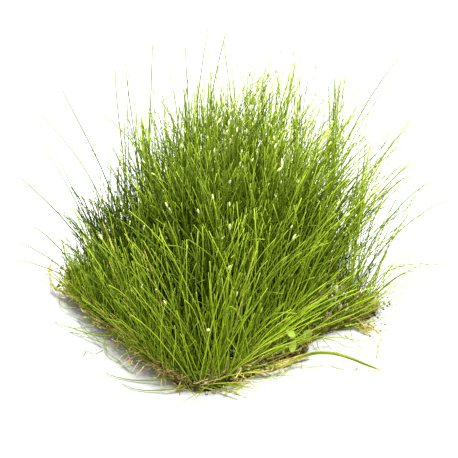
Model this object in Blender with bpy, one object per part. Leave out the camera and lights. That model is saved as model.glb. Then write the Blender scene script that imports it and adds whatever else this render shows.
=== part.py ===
"""Needle spikerush, out of its pot: a square mat of roots and soil with tufts of fine stems.

The frame has its origin at the middle of the mat's flat underside, +Z up, and the mat's sides
along X and Y. Lengths are metres.
"""
import math
import random

import bmesh
import bpy
from mathutils import Matrix, Vector, noise
from mathutils.kdtree import KDTree

MM = 0.001
SEED = 11

# The mat: a root ball from a 9 cm pot, undercut at its sides.
MAT_SIDE = 92 * MM
MAT_THICKNESS = 8.6 * MM
MAT_GRID = 14
MAT_HUMMOCK = 1.1 * MM
MAT_HUMMOCK_LENGTH = 15 * MM
MAT_RIM_DROP = 1.6 * MM
# Plan of the rim, anticlockwise from the blunt front corner, in millimetres.
MAT_PLAN = (
    (-41.5, -42.5), (-33.5, -45.5), (-22, -46.3), (-10, -46.5), (2, -47), (5.5, -45), (8, -41.5), (20, -41),
    (33, -43), (42.5, -41.5), (46.5, -33), (46.5, -10), (45.5, 12), (46, 32), (42, 42), (30, 46),
    (8, 45), (-14, 46), (-33, 45.5), (-42, 42.5), (-46, 32), (-46.5, 10), (-46, -10), (-47.5, -24),
    (-46, -34),
)
# Rings of the side from the rim down: height, and how far it stands inside the rim.
MAT_SIDE_RINGS = ((5.2 * MM, -0.5 * MM), (2.4 * MM, 0.6 * MM), (0.0, 2.2 * MM))

# A tuft: a crown set in the mat, with stems that grow out of its top.
CROWN_SIDES = 7
CROWN_TOP_RADIUS = 2.2 * MM
CROWN_FOOT_RADIUS = 1.5 * MM
CROWN_HEIGHT = 4.4 * MM
CROWN_STANDS_PROUD = 1.2 * MM
GAP = 0.3 * MM
TUFT_ROWS = 6
TUFT_PITCH = 14.6 * MM
TUFT_JITTER = 2.4 * MM
TUFT_EDGE_MARGIN = 4.2 * MM
STEM_LENGTH = 66 * MM
STEM_SPREAD = math.radians(5)
STEM_SWING = 0.03
# The lean at the clump's edge: to the left, to the right, and to the front or back.
LEAN_LEFT = math.radians(9)
LEAN_RIGHT = math.radians(17)
LEAN_DEEP = math.radians(12)
# The stems are shorter towards the left corner, from this far out of the middle.
SHORTER_FROM = 15 * MM
SHORTER_OVER = 45 * MM
SHORTER_BY = 0.4
STEM_RINGS = ((0.1, 0.42), (0.55, 0.3), (1.0, 0.1))
SPIKELET_RINGS = ((0.1, 0.42), (0.55, 0.3), (0.93, 0.2), (0.965, 0.42), (1.0, 0.08))
LONG_STEM_RINGS = ((0.07, 0.4), (0.35, 0.3), (0.65, 0.26), (0.9, 0.2), (1.0, 0.08))
BLADE_RINGS = ((0.07, 0.62), (0.35, 0.62), (0.65, 0.55), (0.9, 0.36), (1.0, 0.1))
SPIKELET_SHARE = 0.12
BLADE_FLATTEN = 0.5
# How far a stem bends over, as a share of its reach.
TUFT_SAG = 0.05
STRAY_SAG = 0.09
BLADE_SAG = 0.13
# A stem that meets another tuft's is drawn again, and grows shorter by up to this share.
STEM_TRIES = 60
SHORTEN_BY = 0.45
STEM_CLEARANCE = 1.25 * MM
CLEARANCE_STEP = 0.6 * MM

# The side that the clump leans towards, as a direction in plan.
ACROSS = Vector((0.8, -0.6, 0.0))
DEEP = Vector((0.6, 0.8, 0.0))

# Stems that reach far out of the clump: the crown's place, and the tip of each stem, in millimetres.
STRAYS = {
    "stray_left_high": ((-19, 29), ((-31, 56, 75), (-38, 63, 67))),
    "stray_left_mid": ((-31, 22.5), ((-45, 53, 60), (-50, 55, 48))),
    "stray_left_low": ((-41, 30), ((-55, 41, 33), (-59, 51, 24))),
    "stray_back_left": ((-4, 40), ((-5, 53, 82), (7, 52, 87))),
    "stray_back": ((17, 38), ((25, 41, 95), (22, 44, 86))),
    "stray_right_high": ((41, 3), ((71, -15, 87), (69, -14, 79))),
    "stray_right_mid": ((41.5, -14), ((69, -25, 67), (70, -28, 56))),
    "stray_right_low": ((41.5, -26), ((70, -38, 50), (74, -45, 42))),
    "stray_right_flat": ((38, -37), ((65, -48, 17), (72, -50, 14))),
}
BLADES = {
    "blade_left": ((-5.5, 15), ((-27, 48, 73),)),
    "blade_right": ((39, 15), ((56, 0, 79),)),
}
# Stems that hang over the edge and lie on the surface: points from inside the mat out, in millimetres.
TRAILING = {
    "trailing_left_rear": ((-43.5, -3, 4.0), (-48.8, -2, 5.4), (-53.5, 3.4, 4.4), (-56, 13.3, 3.0),
                           (-57.9, 24.7, 1.0)),
    "trailing_left_front": ((-43.5, -33.5, 3.0), (-48.6, -32, 3.0), (-51.2, -28.8, 1.8), (-55.6, -23.6, 0.9),
                            (-58.9, -18.4, 0.8), (-60.5, -14.1, 0.8)),
    "trailing_front": ((-40.5, -37, 3.0), (-46.5, -39, 2.6), (-53.4, -33.4, 1.1), (-57.4, -28.8, 0.8),
                       (-59.5, -23.2, 0.8)),
}
TRAILING_RADIUS = 0.5 * MM

# The dry bundle at the front, which arches out and down: points and half its thickness, in millimetres.
ARCH = {
    "arching_bundle": ((-24.5, -43.4, 3.0), (-19.3, -48.2, 2.4), (-13.8, -50.6, 3.0), (-7.2, -51.3, 4.0),
                       (-2.9, -53.1, 5.5), (0.5, -55.5, 6.5), (5.1, -59.5, 6.5), (9.2, -63.4, 5.0),
                       (12.7, -66.5, 3.0), (16, -69.9, 1.3), (17.2, -71.4, 0.8)),
}
ARCH_RADII = (0.7, 0.9, 1.1, 1.15, 1.1, 1.0, 0.9, 0.85, 0.75, 0.5, 0.3)
RUNNERS = {
    "runner_right": ((29.8, -39.6, 3.8), (29.2, -45, 4.0), (28.9, -48.9, 3.5), (30.2, -51.5, 3.4),
                     (29.4, -57.6, 3.0), (26.4, -59.3, 2.2), (24, -61.6, 1.6), (21.4, -63.7, 1.1)),
    "runner_left": ((-43.4, 36.4, 3.4), (-48, 40, 3.8), (-46.4, 46, 3.2), (-43.5, 52.7, 2.0),
                    (-39.2, 60.7, 2.0), (-36.2, 63.4, 3.0)),
}
RUNNER_RADIUS = 0.55 * MM
ROOTS = {
    "root_left_rear": ((-44, -15.5, 3.6), (-48.6, -16, 4.2), (-51.5, -15.8, 3.2), (-54, -14.3, 0.9)),
    "root_left_middle": ((-44, -18.8, 3.2), (-48.6, -18.9, 3.8), (-51, -19.4, 2.6), (-52.8, -19.5, 0.8)),
    "root_left_front": ((-44.5, -22.6, 3.6), (-49, -22.8, 4.2), (-51.5, -22.9, 2.6), (-52.8, -21.9, 0.8)),
}
ROOT_RADIUS = 0.45 * MM
STRAND_TAPER = 0.45
TRAILING_COUNT = 9
ARCH_COUNT = 14
RUNNER_COUNT = 13
ROOT_COUNT = 7
SOCKET_LENGTH = 6.5 * MM

# A small broad-leaved plant rooted at the front: its foot, then each leaf's stalk, length and width.
SEEDLING_FOOT = (4.5, -41)
SEEDLING_SIZE = 0.42
SEEDLING_LEAVES = (
    ((-5.5, -3.0, 2.6), 3.4, 3.0),
    ((-0.8, -4.4, 2.4), 3.0, 2.6),
    ((-4.6, -6.2, 0.2), 4.0, 2.2),
)
SEEDLING_STALK = 0.6
SEEDLING_BLADE = 0.5

STEM_GREENS = ((0.20, 0.38, 0.03), (0.14, 0.30, 0.025), (0.26, 0.42, 0.05))
SOIL_BROWN = (0.06, 0.04, 0.022)
STRAW = (0.42, 0.30, 0.10)
ROOT_CREAM = (0.62, 0.50, 0.30)
LEAF_GREEN = (0.30, 0.50, 0.12)


def clear_scene():
    for thing in list(bpy.data.objects):
        bpy.data.objects.remove(thing, do_unlink=True)


def new_collection(name):
    collection = bpy.data.collections.new(name)
    bpy.context.scene.collection.children.link(collection)
    return collection


def finish(name, colour, roughness):
    """A plain Principled finish."""
    material = bpy.data.materials.new(name)
    material.use_nodes = True
    shader = material.node_tree.nodes["Principled BSDF"]
    shader.inputs["Base Color"].default_value = (*colour, 1.0)
    shader.inputs["Roughness"].default_value = roughness
    shader.inputs["Metallic"].default_value = 0.0
    return material


def mesh_object(name, bm, collection, material):
    """The bmesh as an object of its own; the bmesh is used up."""
    bmesh.ops.recalc_face_normals(bm, faces=bm.faces)
    mesh = bpy.data.meshes.new(name)
    bm.to_mesh(mesh)
    bm.free()
    if material:
        mesh.materials.append(material)
    thing = bpy.data.objects.new(name, mesh)
    collection.objects.link(thing)
    return thing


def plan_radius(angle):
    """Distance from the mat's middle to its rim in a direction of the plan."""
    ray = Vector((math.cos(angle), math.sin(angle)))
    for start, end in zip(MAT_PLAN, MAT_PLAN[1:] + MAT_PLAN[:1]):
        a = Vector(start) * MM
        side = Vector(end) * MM - a
        turn = ray.x * side.y - ray.y * side.x
        if abs(turn) < 1e-12:
            continue
        along_ray = (a.x * side.y - a.y * side.x) / turn
        along_side = (a.x * ray.y - a.y * ray.x) / turn
        if along_ray > 0.0 and 0.0 <= along_side <= 1.0:
            return along_ray
    raise ValueError("no rim in direction %.2f" % angle)


def mat_height(x, y):
    """Height of the mat's top over a point of the plan."""
    place = Vector((x, y, SEED * 0.01)) / MAT_HUMMOCK_LENGTH
    share = math.hypot(x, y) / plan_radius(math.atan2(y, x))
    rim = max(0.0, (share - 0.8) / 0.2)
    return MAT_THICKNESS + MAT_HUMMOCK * noise.noise(place) - MAT_RIM_DROP * min(rim, 1.0) ** 2


def make_mat(collection, material, cutter):
    """A square grid drawn to the plan for the top, and its edge drawn down in rings to a flat foot."""
    bm = bmesh.new()
    bmesh.ops.create_grid(bm, x_segments=MAT_GRID, y_segments=MAT_GRID, size=1.0)
    for v in bm.verts:
        share = max(abs(v.co.x), abs(v.co.y))
        angle = math.atan2(v.co.y, v.co.x)
        radius = share * plan_radius(angle)
        v.co.x = radius * math.cos(angle)
        v.co.y = radius * math.sin(angle)
        v.co.z = mat_height(v.co.x, v.co.y)
    edges = [e for e in bm.edges if e.is_boundary]
    inset_before = 0.0
    for height, inset in MAT_SIDE_RINGS:
        made = bmesh.ops.extrude_edge_only(bm, edges=edges)["geom"]
        edges = [g for g in made if isinstance(g, bmesh.types.BMEdge)]
        for v in (g for g in made if isinstance(g, bmesh.types.BMVert)):
            flat = Vector((v.co.x, v.co.y, 0.0))
            flat -= flat.normalized() * (inset - inset_before)
            v.co = Vector((flat.x, flat.y, height))
        inset_before = inset
    bmesh.ops.contextual_create(bm, geom=edges)
    mat = mesh_object("root_mat", bm, collection, material)
    pockets = mat.modifiers.new("pockets", "BOOLEAN")
    pockets.operation = "DIFFERENCE"
    pockets.object = cutter
    return mat


def crown_base(x, y):
    """The middle of a crown set in the mat at a point of the plan."""
    top = mat_height(x, y) + CROWN_STANDS_PROUD
    return Vector((x, y, top - CROWN_HEIGHT / 2.0))


def add_crown(bm, x, y, grow=0.0, size=1.0):
    """A tapered plug, narrow end down; grow makes the pocket that it sits in."""
    bmesh.ops.create_cone(
        bm, cap_ends=True, cap_tris=False, segments=CROWN_SIDES,
        radius1=CROWN_FOOT_RADIUS * size + grow, radius2=CROWN_TOP_RADIUS * size + grow,
        depth=CROWN_HEIGHT + 2.0 * grow, matrix=Matrix.Translation(crown_base(x, y)))


def make_pocket_cutter(feet, sockets, collection):
    """One cutter for the mat: a pocket round each crown, and a bore for each piece that grows out of its side."""
    bm = bmesh.new()
    for x, y in feet:
        add_crown(bm, x, y, GAP)
    add_crown(bm, SEEDLING_FOOT[0] * MM, SEEDLING_FOOT[1] * MM, GAP, SEEDLING_SIZE)
    for points, count, radius in sockets:
        line = smooth_line(points, count)
        ahead = (line[1] - line[0]).normalized()
        line = [line[0] - ahead * GAP] + [p for p in line if (p - line[0]).length < SOCKET_LENGTH]
        tube = tube_object("socket", line, [radius + GAP] * len(line), 0, collection, None)
        depsgraph = bpy.context.evaluated_depsgraph_get()
        mesh = bpy.data.meshes.new_from_object(tube.evaluated_get(depsgraph))
        bm.from_mesh(mesh)
        bpy.data.objects.remove(tube, do_unlink=True)
        bpy.data.meshes.remove(mesh)
    bmesh.ops.remove_doubles(bm, verts=bm.verts, dist=0.01 * MM)
    cutter = mesh_object("mat_pockets", bm, collection, None)
    cutter.hide_render = True
    cutter.display_type = "WIRE"
    return cutter


def bent_path(start, tip, sag):
    """A stem's line from its foot to its tip: it leaves steeply and bends over by sag."""
    reach = tip - start
    knee = start + Vector((reach.x, reach.y, 0.0)) * (0.5 - sag) + Vector((0.0, 0.0, reach.z)) * (0.5 + sag)

    def at(t):
        return start * (1 - t) ** 2 + knee * (2 * t * (1 - t)) + tip * t ** 2

    return at


def path_samples(at, rings):
    """Points along the straight runs between a stem's rings, close enough to test its clearance."""
    knots = [at(0.0)] + [at(t) for t, _ in rings]
    points = []
    for a, b in zip(knots, knots[1:]):
        count = max(1, round((b - a).length / CLEARANCE_STEP))
        points += [a.lerp(b, k / count) for k in range(count + 1)]
    return points


def grow_stem(bm, face, at, rings, flatten=1.0):
    """Draw one face of the crown's top out along a path, ring by ring."""
    middle = face.calc_center_median()
    heading = face.normal.copy()
    size = 1.0
    for t, ring_size in rings:
        made = bmesh.ops.extrude_discrete_faces(bm, faces=[face])["faces"]
        face = made[0]
        centre = at(t)
        ahead = (at(min(t + 0.02, 1.0)) - at(t - 0.02)).normalized()
        turn = heading.rotation_difference(ahead).to_matrix()
        for v in face.verts:
            v.co = centre + turn @ (v.co - middle) * (ring_size / size)
        if flatten != 1.0 and size == 1.0:
            thin = ahead.cross(Vector((0.0, 0.0, 1.0))).cross(ahead).normalized()
            for v in face.verts:
                v.co -= thin * (v.co - centre).dot(thin) * (1.0 - flatten)
        middle = centre
        heading = ahead
        size = ring_size


def open_crown(x, y, size=1.0):
    """A crown whose top is parted into triangles, one for each stem, in order round it."""
    bm = bmesh.new()
    add_crown(bm, x, y, size=size)
    bm.normal_update()
    top = max(bm.faces, key=lambda f: f.calc_center_median().z)
    fan = bmesh.ops.poke(bm, faces=[top])["faces"]
    bm.normal_update()
    middle = crown_base(x, y)
    fan.sort(key=lambda f: math.atan2(f.calc_center_median().y - middle.y, f.calc_center_median().x - middle.x))
    return bm, fan


class Clearance:
    """The stems made so far, as points, to keep the next tuft's stems away from them."""

    def __init__(self):
        self.points = []
        self.tree = None

    def add(self, points):
        self.points += points
        self.tree = KDTree(len(self.points))
        for index, point in enumerate(self.points):
            self.tree.insert(point, index)
        self.tree.balance()

    def is_clear(self, points):
        if self.tree is None:
            return True
        return all(self.tree.find(p)[2] > STEM_CLEARANCE for p in points)


def nearest_faces(fan, headings):
    """The crown face that looks most along each heading, each face used once."""
    middle = sum((f.calc_center_median() for f in fan), Vector()) / len(fan)
    free = list(fan)
    chosen = []
    for heading in headings:
        away = Vector((heading.x, heading.y, 0.0)).normalized()
        face = max(free, key=lambda f: (f.calc_center_median() - middle).dot(away))
        free.remove(face)
        chosen.append(face)
    return chosen


def make_stray(name, foot, tips, collection, material, clearance, rings, sag, flatten=1.0):
    """A crown with one or two long stems, each with its tip where it is wanted."""
    bm, fan = open_crown(foot[0] * MM, foot[1] * MM)
    tips = [Vector(tip) * MM for tip in tips]
    made = []
    middle = crown_base(foot[0] * MM, foot[1] * MM)
    for face, tip in zip(nearest_faces(fan, [tip - middle for tip in tips]), tips):
        at = bent_path(face.calc_center_median(), tip, sag)
        made += path_samples(at, rings)
        grow_stem(bm, face, at, rings, flatten)
    clearance.add(made)
    mesh_object(name, bm, collection, material)


def tuft_feet(rng, taken):
    """Where the tufts stand: a jittered square pattern, kept inside the rim and off the strays' crowns."""
    feet = []
    apart = 2.0 * CROWN_TOP_RADIUS + 3.0 * GAP
    for row in range(TUFT_ROWS):
        for column in range(TUFT_ROWS):
            x = (column - (TUFT_ROWS - 1) / 2.0) * TUFT_PITCH + rng.uniform(-TUFT_JITTER, TUFT_JITTER)
            y = (row - (TUFT_ROWS - 1) / 2.0) * TUFT_PITCH + rng.uniform(-TUFT_JITTER, TUFT_JITTER)
            limit = plan_radius(math.atan2(y, x)) - TUFT_EDGE_MARGIN
            shrink = min(1.0, limit / math.hypot(x, y))
            place = Vector((x * shrink, y * shrink))
            for other in taken + feet:
                away = place - Vector(other)
                if away.length < apart:
                    place = Vector(other) + away.normalized() * apart
            feet.append((place.x, place.y))
    return feet


def make_tuft(name, foot, rng, collection, material, clearance):
    """A tuft whose stems fan out from its own lean; each keeps clear of the tufts made before it."""
    x, y = foot
    bm, fan = open_crown(x, y)
    place = Vector((x, y, 0.0))
    across = place.dot(ACROSS) / (MAT_SIDE / 2.0)
    deep = place.dot(DEEP) / (MAT_SIDE / 2.0)
    lean_across = (LEAN_RIGHT if across > 0 else LEAN_LEFT) * across
    axis = (Vector((0.0, 0.0, 1.0)) + ACROSS * math.tan(lean_across) + DEEP * math.tan(LEAN_DEEP * deep)).normalized()
    shorter = SHORTER_BY * min(max((-place.dot(ACROSS) - SHORTER_FROM) / SHORTER_OVER, 0.0), 1.0)
    length = STEM_LENGTH * rng.uniform(0.9, 1.12) * (1.0 - shorter)
    middle = crown_base(x, y)
    made = []
    for face in fan:
        start = face.calc_center_median()
        outward = Vector((start.x - middle.x, start.y - middle.y, 0.0)).normalized()
        rings = SPIKELET_RINGS if rng.random() < SPIKELET_SHARE else STEM_RINGS
        for attempt in range(STEM_TRIES):
            spread = STEM_SPREAD * rng.uniform(0.3, 1.25)
            swing = Vector((rng.uniform(-1, 1), rng.uniform(-1, 1), 0.0)) * STEM_SWING
            heading = (axis + outward * math.tan(spread) + swing).normalized()
            reach = length * rng.uniform(0.8, 1.06) * (1.0 - SHORTEN_BY * attempt / STEM_TRIES)
            at = bent_path(start, start + heading * reach, TUFT_SAG)
            samples = path_samples(at, rings)
            if clearance.is_clear(samples):
                made += samples
                grow_stem(bm, face, at, rings)
                break
    clearance.add(made)
    mesh_object(name, bm, collection, material)


def smooth_line(points, count):
    """Points read at even steps from a smooth curve through the given ones."""
    points = [Vector(p) * MM for p in points]
    padded = [points[0] * 2 - points[1]] + points + [points[-1] * 2 - points[-2]]
    line = []
    for step in range(count):
        s = step / (count - 1) * (len(points) - 1)
        k = min(int(s), len(points) - 2)
        t = s - k
        a, b, c, d = padded[k:k + 4]
        line.append(0.5 * (2 * b + (c - a) * t + (2 * a - 5 * b + 4 * c - d) * t ** 2
                           + (3 * b - a - 3 * c + d) * t ** 3))
    return line


def tube_object(name, line, radii, resolution, collection, material):
    """A round curve along a line of points, with its own radius at each and closed ends."""
    curve = bpy.data.curves.new(name, "CURVE")
    curve.dimensions = "3D"
    curve.bevel_depth = 1.0
    curve.bevel_resolution = resolution
    curve.use_fill_caps = True
    spline = curve.splines.new("POLY")
    spline.points.add(len(line) - 1)
    for point, place, radius in zip(spline.points, line, radii):
        point.co = (*place, 1.0)
        point.radius = radius
    if material:
        curve.materials.append(material)
    thing = bpy.data.objects.new(name, curve)
    collection.objects.link(thing)
    return thing


def make_strands(pieces, count, radius, collection, material):
    """Thin pieces that taper along their length: roots, runners and trailing stems."""
    for name, points in pieces.items():
        line = smooth_line(points, count)
        radii = [radius * (1.0 - STRAND_TAPER * k / (count - 1)) for k in range(count)]
        tube_object(name, line, radii, 0, collection, material)


def make_arch(collection, material):
    for name, points in ARCH.items():
        line = smooth_line(points, ARCH_COUNT)
        steps = len(ARCH_RADII) - 1
        radii = []
        for k in range(ARCH_COUNT):
            at = k / (ARCH_COUNT - 1) * steps
            low = min(int(at), steps - 1)
            radii.append((ARCH_RADII[low] + (ARCH_RADII[low + 1] - ARCH_RADII[low]) * (at - low)) * MM)
        tube_object(name, line, radii, 1, collection, material)


def draw_leaf(bm, face, stalk, length, width):
    """Draw a face of the seedling's crown out into a stalk and a flat leaf, ring by ring."""
    start = face.calc_center_median()
    ahead = stalk.normalized()
    side = ahead.cross(Vector((0.0, 0.0, 1.0))).normalized()
    upward = side.cross(ahead)
    rings = [(start + stalk * t, SEEDLING_STALK, SEEDLING_STALK) for t in (0.35, 1.0)]
    rings += [(start + stalk + ahead * length * t, width * share, SEEDLING_BLADE)
              for t, share in ((0.3, 0.85), (0.65, 1.0), (0.95, 0.45))]
    middle = start
    for centre, wide, thick in rings:
        face = bmesh.ops.extrude_discrete_faces(bm, faces=[face])["faces"][0]
        offsets = [(v, (v.co - middle).dot(side), (v.co - middle).dot(upward)) for v in face.verts]
        half_wide = max(abs(across) for _, across, _ in offsets)
        half_thick = max(abs(above) for _, _, above in offsets)
        for v, across, above in offsets:
            v.co = centre + side * across * wide * MM / (2 * half_wide)
            v.co += upward * above * thick * MM / (2 * half_thick)
        middle = centre


def make_seedling(collection, material):
    x, y = (v * MM for v in SEEDLING_FOOT)
    bm, fan = open_crown(x, y, SEEDLING_SIZE)
    leaves = [(Vector(stalk) * MM, length * MM, width * MM) for stalk, length, width in SEEDLING_LEAVES]
    for face, (stalk, length, width) in zip(nearest_faces(fan, [leaf[0] for leaf in leaves]), leaves):
        draw_leaf(bm, face, stalk, length, width)
    mesh_object("seedling", bm, collection, material)


def main():
    clear_scene()
    parts = new_collection("needle_spikerush")
    cutters = new_collection("cutters")
    rng = random.Random(SEED)
    greens = [finish("stem green %d" % k, colour, 0.5) for k, colour in enumerate(STEM_GREENS)]
    straw = finish("dry sheath", STRAW, 0.7)
    cream = finish("pale root", ROOT_CREAM, 0.6)

    named = [(x * MM, y * MM) for (x, y), _ in list(STRAYS.values()) + list(BLADES.values())]
    feet = tuft_feet(rng, named + [tuple(v * MM for v in SEEDLING_FOOT)])
    sockets = [(points, TRAILING_COUNT, TRAILING_RADIUS) for points in TRAILING.values()]
    sockets += [(points, ARCH_COUNT, ARCH_RADII[1] * MM) for points in ARCH.values()]
    sockets += [(points, RUNNER_COUNT, RUNNER_RADIUS) for points in RUNNERS.values()]
    sockets += [(points, ROOT_COUNT, ROOT_RADIUS) for points in ROOTS.values()]
    make_mat(parts, finish("soil and roots", SOIL_BROWN, 0.95), make_pocket_cutter(named + feet, sockets, cutters))

    clearance = Clearance()
    for name, (foot, tips) in STRAYS.items():
        make_stray(name, foot, tips, parts, greens[0], clearance, LONG_STEM_RINGS, STRAY_SAG)
    for name, (foot, tips) in BLADES.items():
        make_stray(name, foot, tips, parts, greens[2], clearance, BLADE_RINGS, BLADE_SAG, BLADE_FLATTEN)
    for points in list(TRAILING.values()) + list(RUNNERS.values()):
        clearance.add(smooth_line(points, 60))
    for index, foot in enumerate(feet):
        make_tuft("tuft_%02d" % (index + 1), foot, rng, parts, greens[index % 3], clearance)

    make_strands(TRAILING, TRAILING_COUNT, TRAILING_RADIUS, parts, greens[0])
    make_strands(RUNNERS, RUNNER_COUNT, RUNNER_RADIUS, parts, straw)
    make_strands(ROOTS, ROOT_COUNT, ROOT_RADIUS, parts, cream)
    make_arch(parts, straw)
    make_seedling(parts, finish("seedling leaf", LEAF_GREEN, 0.45))


main()
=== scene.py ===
import math

import bmesh
import bpy
import numpy as np
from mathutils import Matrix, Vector, noise


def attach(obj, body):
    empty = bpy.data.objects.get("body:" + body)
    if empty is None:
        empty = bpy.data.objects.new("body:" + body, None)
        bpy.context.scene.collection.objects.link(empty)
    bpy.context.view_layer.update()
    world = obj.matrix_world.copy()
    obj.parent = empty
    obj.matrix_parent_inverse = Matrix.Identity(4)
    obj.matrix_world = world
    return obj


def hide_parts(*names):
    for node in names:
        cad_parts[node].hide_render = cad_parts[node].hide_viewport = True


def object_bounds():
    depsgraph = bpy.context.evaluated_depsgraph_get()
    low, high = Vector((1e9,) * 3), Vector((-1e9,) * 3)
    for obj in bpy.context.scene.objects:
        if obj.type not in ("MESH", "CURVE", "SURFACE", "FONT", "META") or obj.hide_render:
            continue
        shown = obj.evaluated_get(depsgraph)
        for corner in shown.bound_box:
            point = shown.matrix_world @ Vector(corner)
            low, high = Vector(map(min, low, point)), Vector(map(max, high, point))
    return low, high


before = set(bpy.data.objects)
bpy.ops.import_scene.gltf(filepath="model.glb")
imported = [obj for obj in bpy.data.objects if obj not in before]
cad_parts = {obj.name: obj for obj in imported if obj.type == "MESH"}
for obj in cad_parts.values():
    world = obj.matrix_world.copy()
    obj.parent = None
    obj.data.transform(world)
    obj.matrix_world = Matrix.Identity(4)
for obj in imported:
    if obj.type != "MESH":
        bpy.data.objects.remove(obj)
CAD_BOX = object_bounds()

bl_info = {
    "name": "Needle Spikerush",
    "version": (1, 0, 0),
    "blender": (4, 5, 0),
    "location": "3D View > Sidebar > Spikerush",
    "description": "Dresses a clump of needle spikerush: fine stems on a square mat of roots and soil",
    "category": "Object",
}

MM = 0.001
SEED = 23

# The camera: turned about +Z from the -Y side, and looking down, as the photograph does.
CAMERA_YAW = math.radians(-37.0)
CAMERA_PITCH = math.radians(28.0)
CAMERA_DISTANCE = 474.25 * MM
CAMERA_AIM = Vector((5.365, 1.778, 29.4)) * MM
CAMERA_FOCAL = 100.0

# The stage: the floor, the pale room and the broad lamp overhead.
FLOOR_COLOUR = (0.52, 0.52, 0.52, 1.0)
FLOOR_HALF = 4.0
ROOM_STRENGTH = 0.8
KEY_PLACE = Vector((0.0, -0.3, 1.12))
KEY_SIZE = 0.6
KEY_POWER = 49.0
SOFT_GLOSS = 0.2

# Directions of the plan: across the picture to the right, and away from the viewer.
ACROSS = np.array((math.cos(CAMERA_YAW), math.sin(CAMERA_YAW)))
DEEP = np.array((-math.sin(CAMERA_YAW), math.cos(CAMERA_YAW)))

# The mat's plan, anticlockwise from its blunt front corner, in millimetres, as in the solids.
MAT_PLAN = (
    (-41.5, -42.5), (-33.5, -45.5), (-22, -46.3), (-10, -46.5), (2, -47), (5.5, -45), (8, -41.5), (20, -41),
    (33, -43), (42.5, -41.5), (46.5, -33), (46.5, -10), (45.5, 12), (46, 32), (42, 42), (30, 46),
    (8, 45), (-14, 46), (-33, 45.5), (-42, 42.5), (-46, 32), (-46.5, 10), (-46, -10), (-47.5, -24),
    (-46, -34),
)
MAT_THICKNESS = 8.6 * MM
ROOT_DEPTH = 1.2 * MM
CLUMP_GAP = 1.7 * MM
MAT_REACH = 60 * MM
MAT_CELLS = 90
# Nothing reaches lower than this above the floor.
LOWEST = 0.03 * MM

# The mat's side from top to foot: height, and how far it stands out past the rim, in millimetres.
MAT_SIDE = ((7, 0.1), (6, 0.4), (5.2, 0.5), (4.2, 0.1), (3.2, -0.5), (2.4, -1.3), (1.4, -2), (0.6, -2.5),
            (0, -2.8))
# Where little grows and soil shows: place and spread, in millimetres.
BARE_PLACES = ((43, -42, 5), (44, -34, 6), (36, -38, 6), (40, -40, 8), (10, -43, 5), (-41, -43, 3),
               (-36, -45, 3), (-8, -46, 4), (-43, 42, 4), (-38, -45.5, 3), (-30, -45.5, 3), (24, -42, 6))
# Loose crumbs on the surface beside the mat: place, spread and how many.
LOOSE_CRUMBS = ((-34, 59, 2.5, 9), (-42, 49, 2.5, 12), (-39, 60, 2, 4), (46, -34, 4, 40), (35, -44, 4, 30),
                (46, -16, 3, 30))
# Pale lumps in the mat's side: place and size.
PALE_LUMPS = ((-27.5, -46.2, 4.4, 1.5), (-29, -46, 3.4, 0.9), (-17.5, -47.6, 1.9, 1.3), (-15, -47.4, 2, 1.6),
              (-12.6, -47.4, 2.4, 1), (-39.5, -45.2, 0.9, 1), (-37, -46.2, 0.9, 1.2), (-34.6, -46.8, 1, 0.9))
# Dead tufts: place, spread in millimetres, and how many bits.
DEAD_TUFTS = ((31, -47.5, 1.6, 1.8, 60), (-29.5, -46.9, 1.4, 1.9, 50), (-45.4, -37.6, 1.2, 1, 24),
              (-45, 36, 5, 1.8, 40), (-45.6, -6, 6, 2.4, 60), (-45.6, 4, 6, 2.4, 55),
              (-46, -30, 4.5, 2.2, 50), (-45.8, -18, 5.5, 2.6, 60), (-45.4, 16, 6, 2.4, 45),
              (-45, 27, 6, 2.4, 45), (-24, -46.6, 2, 3.5, 60), (-8, -47.2, 3, 5, 70), (35, -38, 2, 5, 60))

# The front rims: ends in millimetres, how many stems, the share that slants along the rim,
# and how long those grow.
RIMS = (
    ((-45.5, -37), (-44.5, 38), 290, 0.12, 0.45),
    ((-45.5, -39), (-33, -45.5), 130, 0.05, 0.5),
    ((-36, -44.5), (30, -41), 260, 0.4, 0.6),
)
# Stout light stems that lie close along the rims over the mat's side: rim's ends and how many.
SKIRTS = (
    ((-46.8, -40), (-46, 28), 110),
    ((-34, -46), (-14, -46), 22),
    ((14, -42), (34, -43), 12),
)
# Where the mat is low, with loose crumbs: from one place to another, reach and depth in millimetres.
LOW_PLACES = (
    ((15, -45), (48, -45), 16, 8),
    ((48, -45), (47, -2), 14, 8),
    ((-43, -45), (-36, -46), 13, 4.2),
)
# How much shorter the stems are at the left corner than in the middle.
LEFT_SHORTENING = 0.67
# The stems' usual lean as slopes: 50 mm to the right of the middle, to its left, behind it, and at the front.
LEAN_RIGHT, LEAN_LEFT, LEAN_REAR = (math.tan(math.radians(degrees)) for degrees in (21, 1, 6))
LEAN_FRONT = 0.12

TUFTS = sorted(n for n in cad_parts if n.startswith("tuft_"))
STRAYS = sorted(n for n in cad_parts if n.startswith("stray_"))

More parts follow.
